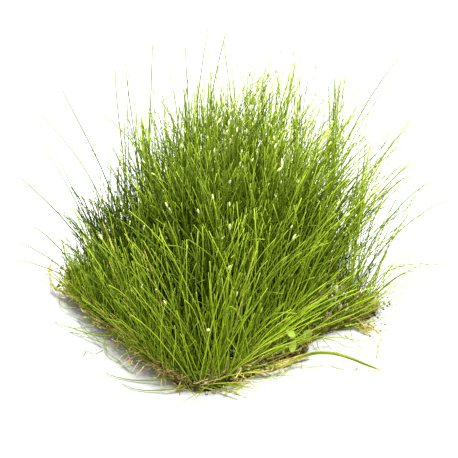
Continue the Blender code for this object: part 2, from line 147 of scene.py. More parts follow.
# Long stems that reach out of the clump, by tuft: foot, a place passed and tip in millimetres,
# and if the stem flowers.
LONG_STEMS = {
    "stray_left_high": (
        ((-19, 29, 7.5), (-23.4, 42.1, 43.7), (-31, 56, 76), False),
        ((-20, 30, 7.5), (-27, 47, 43), (-38, 63, 67), False),
        ((-18, 30, 7.5), (-15, 42, 46), (-10, 52.5, 81), True),
        ((-18, 28, 7.5), (-14, 39, 45), (-7.6, 47, 80), True)),
    "stray_left_mid": (
        ((-31, 22.5, 7.5), (-37.6, 38.8, 38.4), (-45, 53, 62), False),
        ((-32, 23, 7.5), (-36, 39, 37), (-40.5, 52, 61), False),
        ((-32, 22, 7.5), (-42.3, 41.8, 31.9), (-52, 55, 47), False)),
    "stray_left_low": (
        ((-41, 30, 7.5), (-48, 37, 24), (-55, 41, 33), False),
        ((-42, 30, 7.5), (-50, 43, 18), (-58, 51.6, 23), False),
        ((-42, 31, 7.5), (-51, 42, 14), (-59, 50, 16), False)),
    "stray_back_left": (
        ((-4, 40, 7.5), (-5, 47, 45), (-5, 53, 82), False),
        ((-4, 41, 7.5), (1, 47, 48), (7, 52, 87), True)),
    "stray_back": (
        ((17, 38, 7.5), (19, 41, 50), (25, 41, 93), False),
        ((17, 38, 7.5), (22, 38, 52), (28, 34, 92), True),
        ((16, 38, 7.5), (16, 41, 48), (15, 42, 87), True)),
    "stray_right_high": (
        ((41, 3, 7.5), (54, -4, 49), (71, -15, 87), True),
        ((41, 2, 7.5), (53, -6, 45), (68.7, -14, 79.4), True),
        ((41, 3, 7.5), (43, 9, 45), (45, 14, 87), True),
        ((40, 3, 7.5), (43, 7, 46), (44, 9, 85), False)),
    "stray_right_mid": (
        ((41.5, -14, 7.5), (54, -18, 38), (69, -25, 65), False),
        ((42, -14, 7.5), (55, -20, 34), (68, -29, 53), False)),
    "stray_right_low": (
        ((41.5, -26, 7.5), (55, -31, 31), (71, -39, 47), False),
        ((41, -27, 7.5), (57, -35, 27), (74, -45, 40), False)),
    "stray_right_flat": (
        ((38, -37, 7.5), (52, -42, 13.5), (66, -47.5, 16), False),
        ((38, -36, 7.5), (51, -38, 14.4), (72.5, -50, 13.5), False),
        ((36, -38, 7.5), (48, -41, 11), (60, -41, 12), False)),
}
# The two flat blades: foot, a place passed and tip.
BLADES = {
    "blade_left": ((-5.5, 15, 7.5), (-11, 32, 50), (-27, 48, 72)),
    "blade_right": ((39, 15, 7.5), (52.5, 3, 42.6), (56, 0.5, 78)),
}
# Strands drawn through points, in millimetres, from inside the mat outwards.
TRAILING = {
    "trailing_left_rear": ((-43.5, -3, 4), (-48.8, -2, 5.4), (-53.5, 3.4, 4.4), (-56, 13.3, 3),
                           (-57.9, 24.7, 1)),
    "trailing_left_front": ((-43.5, -33.5, 3), (-48.6, -32, 3), (-51.2, -28.8, 1.8), (-55.6, -23.6, 0.9),
                            (-58.9, -18.4, 0.8), (-60.5, -14.1, 0.8)),
    "trailing_front": ((-40.5, -37, 3), (-46.5, -39, 2.6), (-53.4, -33.4, 1.1), (-57.4, -28.8, 0.8),
                       (-59.5, -23.2, 0.8)),
}
ARCH = ((-24.5, -43.4, 3), (-19.3, -48.2, 2.4), (-13.8, -50.6, 3), (-7.2, -51.3, 4), (-2.9, -53.1, 5.5),
        (0.5, -55.5, 6.5), (5.1, -59.5, 6.5), (9.2, -63.4, 5), (12.7, -66.5, 3), (16, -69.9, 1.3),
        (17.2, -71.4, 0.8))
ARCH_RADII = (0.7, 0.9, 1.1, 1.15, 1.1, 1, 0.9, 0.85, 0.75, 0.5, 0.3)
ARCH_STRANDS = 7
RUNNERS = {
    "runner_right": ((29.8, -39.6, 3.8), (29.2, -45, 4), (28.9, -48.9, 3.5), (30.2, -51.5, 3.4),
                     (29.4, -57.6, 3), (26.4, -59.3, 2.2), (24, -61.6, 1.6), (21.4, -63.7, 1.1)),
    "runner_left": ((-43.4, 36.4, 3.4), (-48, 40, 3.8), (-46.4, 46, 3.2), (-43.5, 52.7, 2), (-39.2, 60.7, 2),
                    (-36.2, 63.4, 3)),
}
ROOTS = {
    "root_left_rear": ((-44, -15.5, 3.6), (-48.6, -16, 4.2), (-51.5, -15.8, 3.2), (-54, -14.3, 0.9)),
    "root_left_middle": ((-44, -18.8, 3.2), (-48.6, -18.9, 3.8), (-51, -19.4, 2.6), (-52.8, -19.5, 0.8)),
    "root_left_front": ((-44.5, -22.6, 3.6), (-49, -22.8, 4.2), (-51.5, -22.9, 2.6), (-52.8, -21.9, 0.8)),
}
# Thin strands near the surface: thickness, then the points passed outwards, in millimetres.
LOW_STRANDS = (
    (0.3, (-48.6, 24.8, 4), (-51.2, 28.7, 2.6), (-50, 34.9, 1.6), (-45.6, 42, 1)),
    (0.26, (-49.9, 11.1, 3.5), (-49.7, 14.9, 2.6), (-50.6, 20.6, 1.6), (-51.6, 27.4, 0.8)),
    (0.28, (-53.2, 0, 3), (-52.6, 6.9, 2.4), (-52.1, 12.3, 1.6), (-50, 21.7, 0.8)),
    (0.3, (-49, 10.2, 3.6), (-51.4, 12.3, 2.4), (-54.3, 16.4, 1.2), (-57, 19.7, 0.8), (-57.7, 25.1, 0.5)),
    (0.28, (-51.9, -3.9, 3), (-52.9, 2.9, 2), (-54.7, 10.4, 1), (-56.6, 16.8, 0.6)),
    (0.26, (-50.3, 7.3, 3), (-53.8, 10.2, 1.6), (-56.8, 15.7, 0.6)),
    (0.26, (-54.7, -3.8, 2.4), (-57.6, -2.9, 1.4), (-58.6, 1.6, 0.7), (-61.5, 6.5, 0.5)),
    (0.24, (-58.6, 1.6, 0.7), (-60.2, 0.3, 0.5), (-61.7, -0.7, 0.4)),
    (0.34, (-49.6, 3.6, 4), (-54, -5.6, 2), (-52.9, -11.3, 1), (-53.2, -17.2, 0.6), (-52.1, -20.9, 0.5)),
    (0.3, (-47.4, -27.3, 2), (-48.5, -25.4, 1.2), (-49, -23.5, 0.6)),
    (0.3, (-45.5, 27.7, 4.5), (-47.7, 29.3, 3), (-47.3, 34.6, 1.6)),
    (0.42, (7.6, -46.7, 4.5), (14.9, -49.2, 4.2), (20.4, -53.8, 3.2), (26.4, -58.5, 1.6)),
    (0.34, (11.4, -47.8, 4), (14, -50.2, 3.4), (15.8, -54.2, 2.2), (20.5, -57, 1)),
    (0.32, (18.6, -49.9, 3.6), (19.2, -54.1, 3), (19.5, -58.6, 1.8), (21.1, -62.7, 0.8)),
    (0.24, (8.6, -46.2, 3), (7.8, -47.7, 2), (7.6, -49.7, 1)),
    (0.24, (11.1, -45.9, 3.6), (11.4, -48.4, 2.2), (11.2, -53.6, 0.8)),
    (0.26, (11.2, -53.5, 1.6), (15.6, -56.1, 1.6), (20.7, -63.1, 0.8)),
    (0.26, (16.6, -46.1, 5), (17, -49.5, 4), (17.8, -53.6, 2)),
    (0.24, (21.4, -45, 6), (22.3, -48.5, 4), (19.7, -52.6, 2)),
    (0.26, (24, -47.5, 5), (26.2, -50.6, 3.6), (27.8, -55.4, 2)),
    (0.24, (-5.2, -53.4, 1), (-0.9, -54.7, 0.8), (3.7, -56.3, 0.6), (11, -59.2, 0.5)),
    (0.22, (5.1, -57.9, 0.5), (6.8, -61.3, 0.4), (8, -64.6, 0.4)),
    (0.24, (12.2, -64.1, 0.5), (9.6, -65, 0.4), (7.1, -66.2, 0.4)),
    (0.22, (14.4, -67.4, 0.6), (13.2, -68.7, 0.5), (12.1, -69.9, 0.4)),
    (0.4, (-26, -46.1, 3.5), (-24.7, -47.8, 2), (-19.2, -50.8, 1.2), (-13.2, -52.4, 1.2), (-7.5, -50.9, 1.4)),
    (0.3, (-30.1, -49.2, 2), (-24.7, -50.1, 1), (-22.2, -53.5, 0.6)),
    (0.4, (-24.3, -44.1, 7.5), (-25, -45.6, 4.5), (-26, -47.2, 1.2)),
)
RIGHT_STRANDS = (
    (0.34, (22, -41, 5.5), (29.7, -45.4, 7.8), (40.5, -52.2, 9.7), (46.1, -54.5, 12.6)),
    (0.32, (21.5, -46.5, 5), (29.5, -51.5, 6.6), (34.7, -54.3, 8.2), (40.9, -58.1, 9.5)),
    (0.28, (26.2, -49.5, 3), (32, -53.9, 3), (35.5, -56.6, 2.8), (39.1, -59, 3.3)),
    (0.32, (25.7, -44.6, 5), (36.2, -49.4, 9.5), (47, -53.8, 15.3), (55.6, -58.8, 17.6)),
    (0.3, (35.7, -34.5, 5), (43.1, -39, 6.7), (50.6, -44, 7.6), (53.7, -47.2, 6.3)),
    (0.34, (46, -20.5, 8), (53.8, -25.5, 9.4), (65.4, -34.5, 9), (74.3, -41.2, 9)),
    (0.34, (45.6, -34.7, 5), (49.3, -33.6, 10.7), (51.6, -32.5, 15)),
    (0.3, (50, -36.1, 5), (51.9, -34.2, 10), (52.7, -31.9, 14.4)),
    (0.4, (16.8, -44.1, 6), (27.3, -48.8, 10.8), (40.6, -54, 18.1), (52, -58.1, 24.8)),
)
STRAW_STRANDS = (
    (0.3, (-13.7, -46.4, 3.2), (-8, -48.4, 3.4), (-2.1, -49.6, 3.2), (1.5, -50.1, 3.2)),
    (0.3, (-13.2, -47.6, 3), (-8, -48.4, 3.2), (-1.7, -49.1, 3), (2.5, -50.7, 3.1)),
    (0.3, (-13.9, -48.1, 2.8), (-8.3, -48.8, 3), (-1.6, -48.9, 2.8), (3.6, -51.5, 2.9)),
    (0.3, (-14.6, -47.5, 2.6), (-8.4, -48.9, 2.8), (-1.4, -48.8, 2.6), (3.6, -51.4, 2.8)),
    (0.3, (-13.4, -46.8, 2.4), (-8.2, -48.7, 2.6), (-1.9, -49.3, 2.4), (1.8, -49.9, 2.6)),
    (0.3, (-14.2, -47.2, 2.2), (-8.5, -49, 2.4), (-1.8, -49.2, 2.2), (3, -50.8, 2.5)),
    (0.3, (-13.8, -47.7, 2), (-8, -48.5, 2.2), (-1.9, -49.4, 2), (3.2, -50.9, 2.3)),
    (0.3, (-14.1, -46.9, 1.8), (-8.2, -48.8, 2), (-2, -49.5, 1.8), (2.6, -50.3, 2.2)),
    (0.3, (-13.7, -47.2, 1.6), (-8.4, -49, 1.8), (-1.9, -49.4, 1.6), (2.6, -50.2, 2)),
)
PALE_ROOTS = (
    (0.34, (-47, 13.4, 3.4), (-46.5, 16.8, 2.6), (-47.3, 20.1, 1.4), (-48.3, 22.2, 0.6)),
    (0.34, (-46.4, -12.3, 3.6), (-47.4, -11.6, 3.2), (-49.7, -10.3, 2.2), (-52.2, -10.2, 1),
     (-53.4, -10.7, 0.5)),
    (0.3, (-49, -10, 3.4), (-49.2, -11.5, 2.6), (-50.3, -15.9, 1.2), (-49.7, -18.2, 0.5)),
)
# Bundles of tall stems that stand out of the clump: foot, tip in millimetres and how many.
TALL_BUNDLES = (
    ((-11, 31), (5, 57, 66), 17), ((11, 31), (27, 56, 63), 17), ((12, 25), (35, 50, 72), 22),
    ((19, 24), (39, 48, 66), 20), ((31, 21), (47, 44, 61), 17), ((37, 21), (65, 41, 70), 20),
    ((35, 18), (55, 40, 63), 20), ((41, 3), (61, 21, 57), 12), ((43, -11), (67, 13, 71), 20),
    ((-3, 30), (16, 51, 60), 12), ((-24, 34), (-13, 53, 48), 6), ((44, -24), (66, -8, 57), 14),
    ((5, 30), (30, 52, 68), 12), ((37, 8), (62, 30, 69), 12), ((-18, 35), (-3, 56, 57), 6),
)
# The lowest stem tip that bears a spikelet, and the share of stems with one, at the rear and elsewhere.
SPIKELET_HEIGHT = 36 * MM
REAR_SPIKELETS, OTHER_SPIKELETS = 0.34, 0.02
SEEDLING_FOOT = (5, -46, 4.5)
# The seedling's leaves: where each starts, the way it points, its length and width in millimetres.
SEEDLING_LEAVES = (
    ((-4.2, -48.6, 13.3), (-1, -0.1, 0.35), 4.4, 4.4),
    ((1.5, -48.9, 9.8), (-0.35, -0.2, 0.9), 3.8, 3.5),
    ((-4.9, -48.8, 11.2), (-0.2, -0.15, -1), 5.2, 2.6),
)


class Wire:
    """A socket of a node tree, on which maths is written as an expression."""

    def __init__(self, sheet, socket):
        self.sheet = sheet
        self.socket = socket
        self.is_vector = socket.type == "VECTOR"

    def maths(self, operation, *others):
        kind = "ShaderNodeVectorMath" if self.is_vector else "ShaderNodeMath"
        values = dict(enumerate((self,) + others))
        return self.sheet.wire(kind, {"operation": operation}, values)

    def __add__(self, other):
        return self.maths("ADD", other)

    def __sub__(self, other):
        return self.maths("SUBTRACT", other)

    def __rsub__(self, other):
        return self.sheet.wire("ShaderNodeMath", {"operation": "SUBTRACT"}, {0: other, 1: self})

    def __mul__(self, other):
        if self.is_vector:
            return self.sheet.wire("ShaderNodeVectorMath", {"operation": "SCALE"}, {0: self, "Scale": other})
        if isinstance(other, Wire) and other.is_vector:
            return other * self
        return self.maths("MULTIPLY", other)

    __rmul__ = __mul__

    def __pow__(self, other):
        return self.maths("POWER", other)

    def cross(self, other):
        return self.maths("CROSS_PRODUCT", other)

    def unit(self):
        return self.maths("NORMALIZE")

    def clamped(self):
        return self.sheet.wire("ShaderNodeClamp", {}, {"Value": self})

    def step(self, low, high, out_low=0.0, out_high=1.0):
        """Smoothly from one value to another as this one passes from low to high."""
        return self.sheet.wire("ShaderNodeMapRange", {"interpolation_type": "SMOOTHSTEP"},
                               {0: self, 1: low, 2: high, 3: out_low, 4: out_high})


class Sheet:
    """A node tree, to which every node is added in one way: type, settings, then sockets."""

    def __init__(self, tree):
        self.tree = tree

    def add(self, kind, settings=None, sockets=None):
        node = self.tree.nodes.new(kind)
        for key, value in (settings or {}).items():
            setattr(node, key, value)
        self.join(node, sockets or {})
        return node

    def join(self, node, sockets):
        """Gives a node's sockets their values or links."""
        for key, value in sockets.items():
            if isinstance(value, Wire):
                self.tree.links.new(value.socket, node.inputs[key])
            else:
                node.inputs[key].default_value = value

    def wire(self, kind, settings=None, sockets=None, output=0):
        return Wire(self, self.add(kind, settings, sockets).outputs[output])

    def mix(self, factor, first, second):
        """A colour between two colours."""
        first, second = (c if isinstance(c, Wire) else (*c, 1.0) for c in (first, second))
        sockets = {"Factor": factor, 6: first, 7: second}
        return self.wire("ShaderNodeMix", {"data_type": "RGBA"}, sockets, output=2)

    def parts(self, vector):
        """The three numbers of a vector."""
        node = self.add("ShaderNodeSeparateXYZ", {}, {0: vector})
        return [Wire(self, node.outputs[axis]) for axis in "XYZ"]


class Finish(Sheet):
    """A material's node tree, which ends in its Principled shader."""

    def __init__(self, name):
        self.material = bpy.data.materials.new(name)
        self.material.use_nodes = True
        super().__init__(self.material.node_tree)

    def attribute(self, name, output="Fac"):
        return self.wire("ShaderNodeAttribute", {"attribute_name": name}, output=output)

    def place(self):
        return self.wire("ShaderNodeTexCoord", output="Object")

    def noise(self, scale, detail=2.0):
        return self.wire("ShaderNodeTexNoise", {}, {"Vector": self.place(), "Scale": scale, "Detail": detail})

    def ended(self, colour, roughness, gloss=SOFT_GLOSS, height=None, strength=0.4, depth=0.2 * MM):
        """The material, with its colour, roughness and gloss, and its relief where it has a height."""
        sockets = {"Base Color": colour, "Roughness": roughness, "Specular IOR Level": gloss}
        if height:
            sockets["Normal"] = self.wire("ShaderNodeBump", {}, {
                "Strength": strength, "Distance": depth, "Height": height})
        self.join(self.tree.nodes["Principled BSDF"], sockets)
        return self.material


def painted_shade_inside(sheet):
    """Where painted shade falls on the stems: 1 low down in the middle of the clump, 0 outside it and high
    up.
    """
    x, y, z = sheet.parts(sheet.place())
    aside = x.maths("ABSOLUTE").maths("MAXIMUM", y.maths("ABSOLUTE"))
    return aside.step(39 * MM, 48 * MM, 1.0, 0.0) * z.step(24 * MM, 74 * MM, 1.0, 0.0)


def stem_finish(name, look):
    """Living and dry stems: the colour runs along the stem, and differs from one stem to the next, with
    painted shade low in the middle of the clump and painted highlight streaks on the lighter stems.
    """
    sheet = Finish(name)
    along = sheet.attribute("along")
    tone = sheet.attribute("tone")
    age = sheet.attribute("age")
    mottle = sheet.noise(300.0)
    highlight_streak = sheet.noise(1500.0)
    green = sheet.mix(tone ** 1.7, look.stem_dark, look.stem_light)
    green = sheet.mix(along.step(0.6, 1.0) * 0.1, green, look.tip_and_highlight)
    # Painted highlight: fine pale streaks in the tip colour on the lighter stems, in place of the gloss of
    # the light on them.
    green = sheet.mix(highlight_streak.step(0.5, 0.75) * tone * 0.35, green, look.tip_and_highlight)
    dry = sheet.mix(mottle.step(0.35, 0.65), look.dry_dark, look.dry_light)
    foot = (1.0 - along.step(0.0, 0.15)) * mottle.step(0.3, 0.6)
    colour = sheet.mix((foot * 0.7 + age).clamped(), green, dry)
    colour = sheet.mix(mottle.step(0.3, 0.7) * 0.2, colour, look.stem_dark)
    # Painted shade: stems low in the middle of the clump are darkened towards the shade colour, the darker
    # stems most, in place of the shade that falls inside the clump.
    colour = sheet.mix(painted_shade_inside(sheet) * (1.0 - tone * 0.42), colour, look.stem_painted_shade)
    return sheet.ended(colour, 0.45, gloss=0.015)


def blade_finish(name, look):
    """A flat blade: lighter than the stems, with fine ribs along it."""
    sheet = Finish(name)
    along = sheet.attribute("along")
    mottle = sheet.noise(260.0)
    colour = sheet.mix(mottle.step(0.3, 0.7), look.blade, look.stem_light)
    colour = sheet.mix(along.step(0.6, 1.0) * 0.5, colour, look.tip_and_highlight)
    fine = sheet.noise(2600.0, 3.0)
    return sheet.ended(colour, 0.4, height=fine, strength=0.3, depth=0.1 * MM)


def dry_finish(name, look):
    """Dry sheaths and old roots: straw to brown, each its own shade, with darker flecks."""
    sheet = Finish(name)
    tone = sheet.attribute("tone")
    mottle = sheet.noise(500.0, 3.0)
    colour = sheet.mix(tone, look.dry_dark, look.dry_light)
    colour = sheet.mix(mottle.step(0.5, 0.7) * 0.6, colour, look.dry_dark)
    return sheet.ended(colour, 0.7, height=mottle, depth=0.15 * MM)


def root_finish(name, look):
    """Pale roots, browner in places."""
    sheet = Finish(name)
    tone = sheet.attribute("tone")
    mottle = sheet.noise(330.0, 3.0)
    colour = sheet.mix(tone, look.root_brown, look.root_pale)
    colour = sheet.mix(mottle.step(0.5, 0.75) * 0.7, colour, look.root_brown)
    return sheet.ended(colour, 0.65)


def soil_finish(name, look):
    """Damp soil with fibres and paler grains."""
    sheet = Finish(name)
    coarse = sheet.noise(260.0, 6.0)
    fine = sheet.noise(1400.0, 4.0)
    colour = sheet.mix(coarse.step(0.35, 0.7), look.soil_dark, look.soil_light)
    colour = sheet.mix(fine.step(0.58, 0.7) * 0.7, colour, look.fibre)
    x, y, _ = sheet.parts(sheet.place())
    corner = (x - y).step(50 * MM, 70 * MM) * fine.step(0.35, 0.55)
    colour = sheet.mix(corner * 0.85, colour, look.grain)
    return sheet.ended(colour, 0.9, height=fine, strength=0.6, depth=0.4 * MM)


def grain_finish(name, low, high):
    """Small lumps, each its own shade between two."""
    sheet = Finish(name)
    shade = sheet.noise(170.0, 0.0)
    fine = sheet.noise(2200.0, 3.0)
    colour = sheet.mix(shade.step(0.35, 0.65), low, high)
    colour = sheet.mix(fine.step(0.45, 0.75) * 0.5, colour, low)
    return sheet.ended(colour, 0.85)


def spikelet_finish(name, look):
    """Spikelets: pale scales that overlap in rows, greener towards the foot."""
    sheet = Finish(name)
    x, y, height = sheet.parts(sheet.attribute("lump", "Vector"))
    rows = (height * 14.0 + x.maths("ARCTAN2", y) * 2.0).maths("SINE")
    colour = sheet.mix(height.step(-1.0, 0.2), look.stem_light, look.spikelet)
    colour = sheet.mix(rows.step(0.2, 1.0) * 0.35, colour, look.dry_light)
    return sheet.ended(colour, 0.6)


def leaf_finish(name, look):
    """The seedling's leaves: light green with paler veins from the stalk."""
    sheet = Finish(name)
    edge = sheet.attribute("edge")
    vein = sheet.attribute("vein")
    mottle = sheet.noise(350.0, 3.0)
    colour = sheet.mix(mottle.step(0.3, 0.7), look.leaf_dark, look.leaf_light)
    colour = sheet.mix(vein.step(0.75, 1.0) * 0.5, colour, look.tip_and_highlight)
    colour = sheet.mix(edge.step(0.8, 1.0) * 0.3, colour, look.leaf_dark)
    return sheet.ended(colour, 0.45, gloss=0.25, height=vein)


def plan_radius(angle):
    """Distance from the mat's middle to its rim, in metres, in a direction of the plan."""
    ray = Vector((math.cos(angle), math.sin(angle)))
    for start, end in zip(MAT_PLAN, MAT_PLAN[1:] + MAT_PLAN[:1]):
        a = Vector(start) * MM
        side = Vector(end) * MM - a
        turn = ray.x * side.y - ray.y * side.x
        if abs(turn) < 1e-12:
            continue
        along_ray = (a.x * side.y - a.y * side.x) / turn
        along_side = (a.x * ray.y - a.y * ray.x) / turn
        if along_ray > 0.0 and 0.0 <= along_side <= 1.0:
            return along_ray
    raise ValueError("no rim in this direction")


def side_reach(height, angle):
    """How far the mat's side stands out past its rim at a height: undercut most on the left."""
    heights, reaches = zip(*reversed(MAT_SIDE))
    reach = float(np.interp(height / MM, heights, reaches))
    left = part_way(math.degrees(abs(angle)), 138.0, 8.0)
    return (reach if reach > 0.0 else reach * (0.3 + 0.7 * left)) * MM


def foot_of(name):
    """The plan position of a tuft's crown: the middle of the lowest part of its solid."""
    points = np.array([v.co[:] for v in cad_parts[name].data.vertices])
    low = points[points[:, 2] < points[:, 2].min() + 1.0 * MM]
    return low[:, :2].mean(axis=0)


def part_way(value, start, length=1.0):
    """0 up to a start, 1 a length past it, and in proportion between."""
    return np.clip((value - start) / length, 0, 1)


def unit(rows):
    """Vectors in rows, each drawn to a length of one."""
    return rows / np.linalg.norm(rows, axis=1, keepdims=True)


def link(thing):
    bpy.context.scene.collection.objects.link(thing)
    return thing


def seat_mesh(name, points, attributes):
    """Loose points with values on each, as the input of a node tree."""
    mesh = bpy.data.meshes.new(name)
    mesh.vertices.add(len(points))
    mesh.vertices.foreach_set("co", np.asarray(points, dtype=np.float32).ravel())
    for key, values in attributes.items():
        values = np.asarray(values, dtype=np.float32)
        kind = "FLOAT_VECTOR" if values.ndim == 2 else "FLOAT"
        layer = mesh.attributes.new(key, kind, "POINT")
        layer.data.foreach_set("vector" if values.ndim == 2 else "value", values.ravel())
    return mesh


class Growth(Sheet):
    """A node tree that makes shapes at the points or lines that it is given, in a finish that it is given."""

    def __init__(self, name, **sizes):
        super().__init__(bpy.data.node_groups.new(name, "GeometryNodeTree"))
        face = self.tree.interface
        face.new_socket("Geometry", in_out="INPUT", socket_type="NodeSocketGeometry")
        for label, size in sizes.items():
            kind = "NodeSocketInt" if isinstance(size, int) else "NodeSocketFloat"
            face.new_socket(label, in_out="INPUT", socket_type=kind).default_value = size
        face.new_socket("Finish", in_out="INPUT", socket_type="NodeSocketMaterial")
        face.new_socket("Geometry", in_out="OUTPUT", socket_type="NodeSocketGeometry")
        outputs = self.tree.nodes.new("NodeGroupInput").outputs
        self.given = {socket.name: Wire(self, socket) for socket in outputs[:len(sizes) + 2]}

    def stored(self, geometry, name, value, kind="FLOAT_VECTOR"):
        return self.wire("GeometryNodeStoreNamedAttribute", {"data_type": kind},
                         {"Geometry": geometry, "Name": name, "Value": value})

    def named(self, name, kind="FLOAT_VECTOR"):
        return self.wire("GeometryNodeInputNamedAttribute", {"data_type": kind}, {"Name": name})

    def at_points(self, shape, **sockets):
        """A shape on each given point, as real faces."""
        shapes = self.wire("GeometryNodeInstanceOnPoints", {}, {
            "Points": self.given["Geometry"], "Instance": shape, **sockets})
        return self.wire("GeometryNodeRealizeInstances", {}, {"Geometry": shapes})

    def wander(self, vector, scale=1.0):
        """A noise that pushes to every side alike."""
        noise_at = self.wire("ShaderNodeTexNoise", {}, {"Vector": vector, "Scale": scale, "Detail": 1.0},
                             output="Color")
        return self.wire("ShaderNodeVectorMath", {"operation": "SUBTRACT"}, {0: noise_at, 1: (0.5, 0.5, 0.5)})

    def ended(self, shape, spent):
        """The tree, ended: spent values dropped, realized, shaded smooth, with its finish set."""
        for name in spent:
            shape = self.wire("GeometryNodeRemoveAttribute", {}, {"Geometry": shape, "Name": name})
        shape = self.wire("GeometryNodeRealizeInstances", {}, {"Geometry": shape})
        shape = self.wire("GeometryNodeSetShadeSmooth", {}, {"Geometry": shape})
        shape = self.wire("GeometryNodeSetMaterial", {}, {
            "Geometry": shape, "Material": self.given["Finish"]})
        self.add("NodeGroupOutput", {}, {"Geometry": shape})
        return self.tree


def stem_tree():
    """Grows a tapering stem at each point, along the curve that the point's own values give."""
    sheet = Growth("grow stems", Sides=4, Rings=9, Taper=0.5)
    column = sheet.wire("GeometryNodeMeshCylinder", {}, {
        "Vertices": sheet.given["Sides"], "Side Segments": sheet.given["Rings"], "Radius": 1.0, "Depth": 1.0})
    place = sheet.wire("GeometryNodeInputPosition")
    column = sheet.stored(column, "along", sheet.parts(place)[2] + 0.5, "FLOAT")
    stems = sheet.at_points(sheet.stored(column, "ring", place))
    t = sheet.named("along", "FLOAT")
    rest = 1.0 - t
    foot, knee, neck, tip = (sheet.named(n) for n in ("foot", "knee", "neck", "tip"))
    centre = foot * (rest * rest * rest) + knee * (3.0 * t * rest * rest)
    centre = centre + neck * (3.0 * t * t * rest) + tip * (t * t * t)
    wander = sheet.wander(foot * 370.0 + sheet.wire("ShaderNodeCombineXYZ", {}, {"Z": t * 2.6}))
    centre = centre + wander * (t * rest * sheet.named("wobble", "FLOAT"))
    ahead = (knee - foot) * (rest * rest) + (neck - knee) * (2.0 * t * rest) + (tip - neck) * (t * t)
    side = ahead.cross(sheet.named("side")).unit()
    up = side.cross(ahead).unit()
    x, y, _ = sheet.parts(sheet.named("ring"))
    width = sheet.named("thick", "FLOAT") * 0.5 * (1.0 - sheet.given["Taper"] * t * t)
    spot = centre + side * (x * width) + up * (y * width * sheet.named("flat", "FLOAT"))
    stems = sheet.wire("GeometryNodeSetPosition", {}, {"Geometry": stems, "Position": spot})
    return sheet.ended(stems, ("foot", "knee", "neck", "tip", "side", "ring", "thick", "flat", "wobble"))


def set_inputs(modifier, values):
    """A node tree's inputs on its modifier, by the sockets' identifiers."""
    for item in modifier.node_group.interface.items_tree:
        if item.in_out == "INPUT" and item.name in values:
            modifier[item.identifier] = values[item.name]


def grown_mesh(name, seats, tree, values):
    """The plain mesh that a node tree makes of a mesh of points."""
    seed_object = link(bpy.data.objects.new(name + " seats", seats))
    modifier = seed_object.modifiers.new("grow", "NODES")
    modifier.node_group = tree
    set_inputs(modifier, values)
    depsgraph = bpy.context.evaluated_depsgraph_get()
    mesh = bpy.data.meshes.new_from_object(seed_object.evaluated_get(depsgraph))
    bpy.data.objects.remove(seed_object, do_unlink=True)
    mesh.name = name
    return mesh


def lump_tree():
    """Puts a small rough lump at each point, of the size and turn that the point's own values give."""
    sheet = Growth("scatter lumps", Detail=2, Roughness=0.2 * MM)
    ball = sheet.wire("GeometryNodeMeshIcoSphere", {}, {"Radius": 1.0, "Subdivisions": sheet.given["Detail"]})
    ball = sheet.stored(ball, "lump", sheet.wire("GeometryNodeInputPosition"))
    lumps = sheet.at_points(ball, Rotation=sheet.named("turn"), Scale=sheet.named("size"))
    push = sheet.wander(sheet.wire("GeometryNodeInputPosition"), 900.0) * sheet.given["Roughness"]
    lumps = sheet.wire("GeometryNodeSetPosition", {}, {"Geometry": lumps, "Offset": push})
    return sheet.ended(lumps, ("size", "turn"))


def strand_tree():
    """Draws a round strand along each line of edges, as thick at each point as the point says."""
    sheet = Growth("draw strands", Sides=5)
    lines = sheet.wire("GeometryNodeMeshToCurve", {}, {"Mesh": sheet.given["Geometry"]})
    ring = sheet.wire("GeometryNodeCurvePrimitiveCircle", {}, {
        "Resolution": sheet.given["Sides"], "Radius": 0.5})
    strands = sheet.wire("GeometryNodeCurveToMesh", {}, {
        "Curve": lines, "Profile Curve": ring, "Scale": sheet.named("thick", "FLOAT"), "Fill Caps": True})
    return sheet.ended(strands, ("thick",))


def stems_between(foot, tip, rng, thick, tone, age, sag=0.1, wave=0.04, flat=1.0):
    """A set of stems as arrays: where each starts, how it bends and where it ends, with its make."""
    count = len(foot)
    reach = tip - foot
    length = np.linalg.norm(reach, axis=1, keepdims=True)
    level = reach * (1.0, 1.0, 0.0)
    rise = reach * (0.0, 0.0, 1.0)
    sag, wave = (np.broadcast_to(v, (count,))[:, None] for v in (sag, wave))
    stems = {"foot": foot, "tip": tip}
    for name, share in (("knee", 1 / 3), ("neck", 2 / 3)):
        middle = foot + level * (share - sag) + rise * (share + sag)
        stems[name] = middle + rng.normal(0, 1, (count, 3)) * length * wave
    stems["side"] = rng.normal(0.0, 1.0, (count, 3))
    for name, value in (("thick", thick), ("tone", tone), ("age", age), ("flat", flat)):
        stems[name] = np.broadcast_to(value, (count,))
    stems["wobble"] = 0.16 * length[:, 0]
    return stems


def join_stems(sets):
    return {key: np.concatenate([values[key] for values in sets]) for key in sets[0]}


def share_of_rim(x, y):
    """0 at the mat's middle and 1 on its rim."""
    return math.hypot(x, y) / plan_radius(math.atan2(y, x))


def ground_height(x, y):
    """About the height of the mat's top surface."""
    place = Vector((x, y, 0.11)) / (15 * MM)
    rim = part_way(share_of_rim(x, y), 0.8, 0.2)
    height = MAT_THICKNESS + 1.1 * MM * noise.noise(place) - 1.6 * MM * rim ** 2
    lower = 0.0
    for start, end, reach, depth in LOW_PLACES:
        start, side = Vector(start), Vector(end) - Vector(start)
        spot = Vector((x, y)) / MM - start
        share = part_way(spot.dot(side), 0.0, side.length_squared)
        near = max(0.0, 1.0 - (spot - side * share).length / reach)
        lower = max(lower, depth * min(near * 1.8, 1.0))
    return max(height - lower * MM, 0.8 * MM)


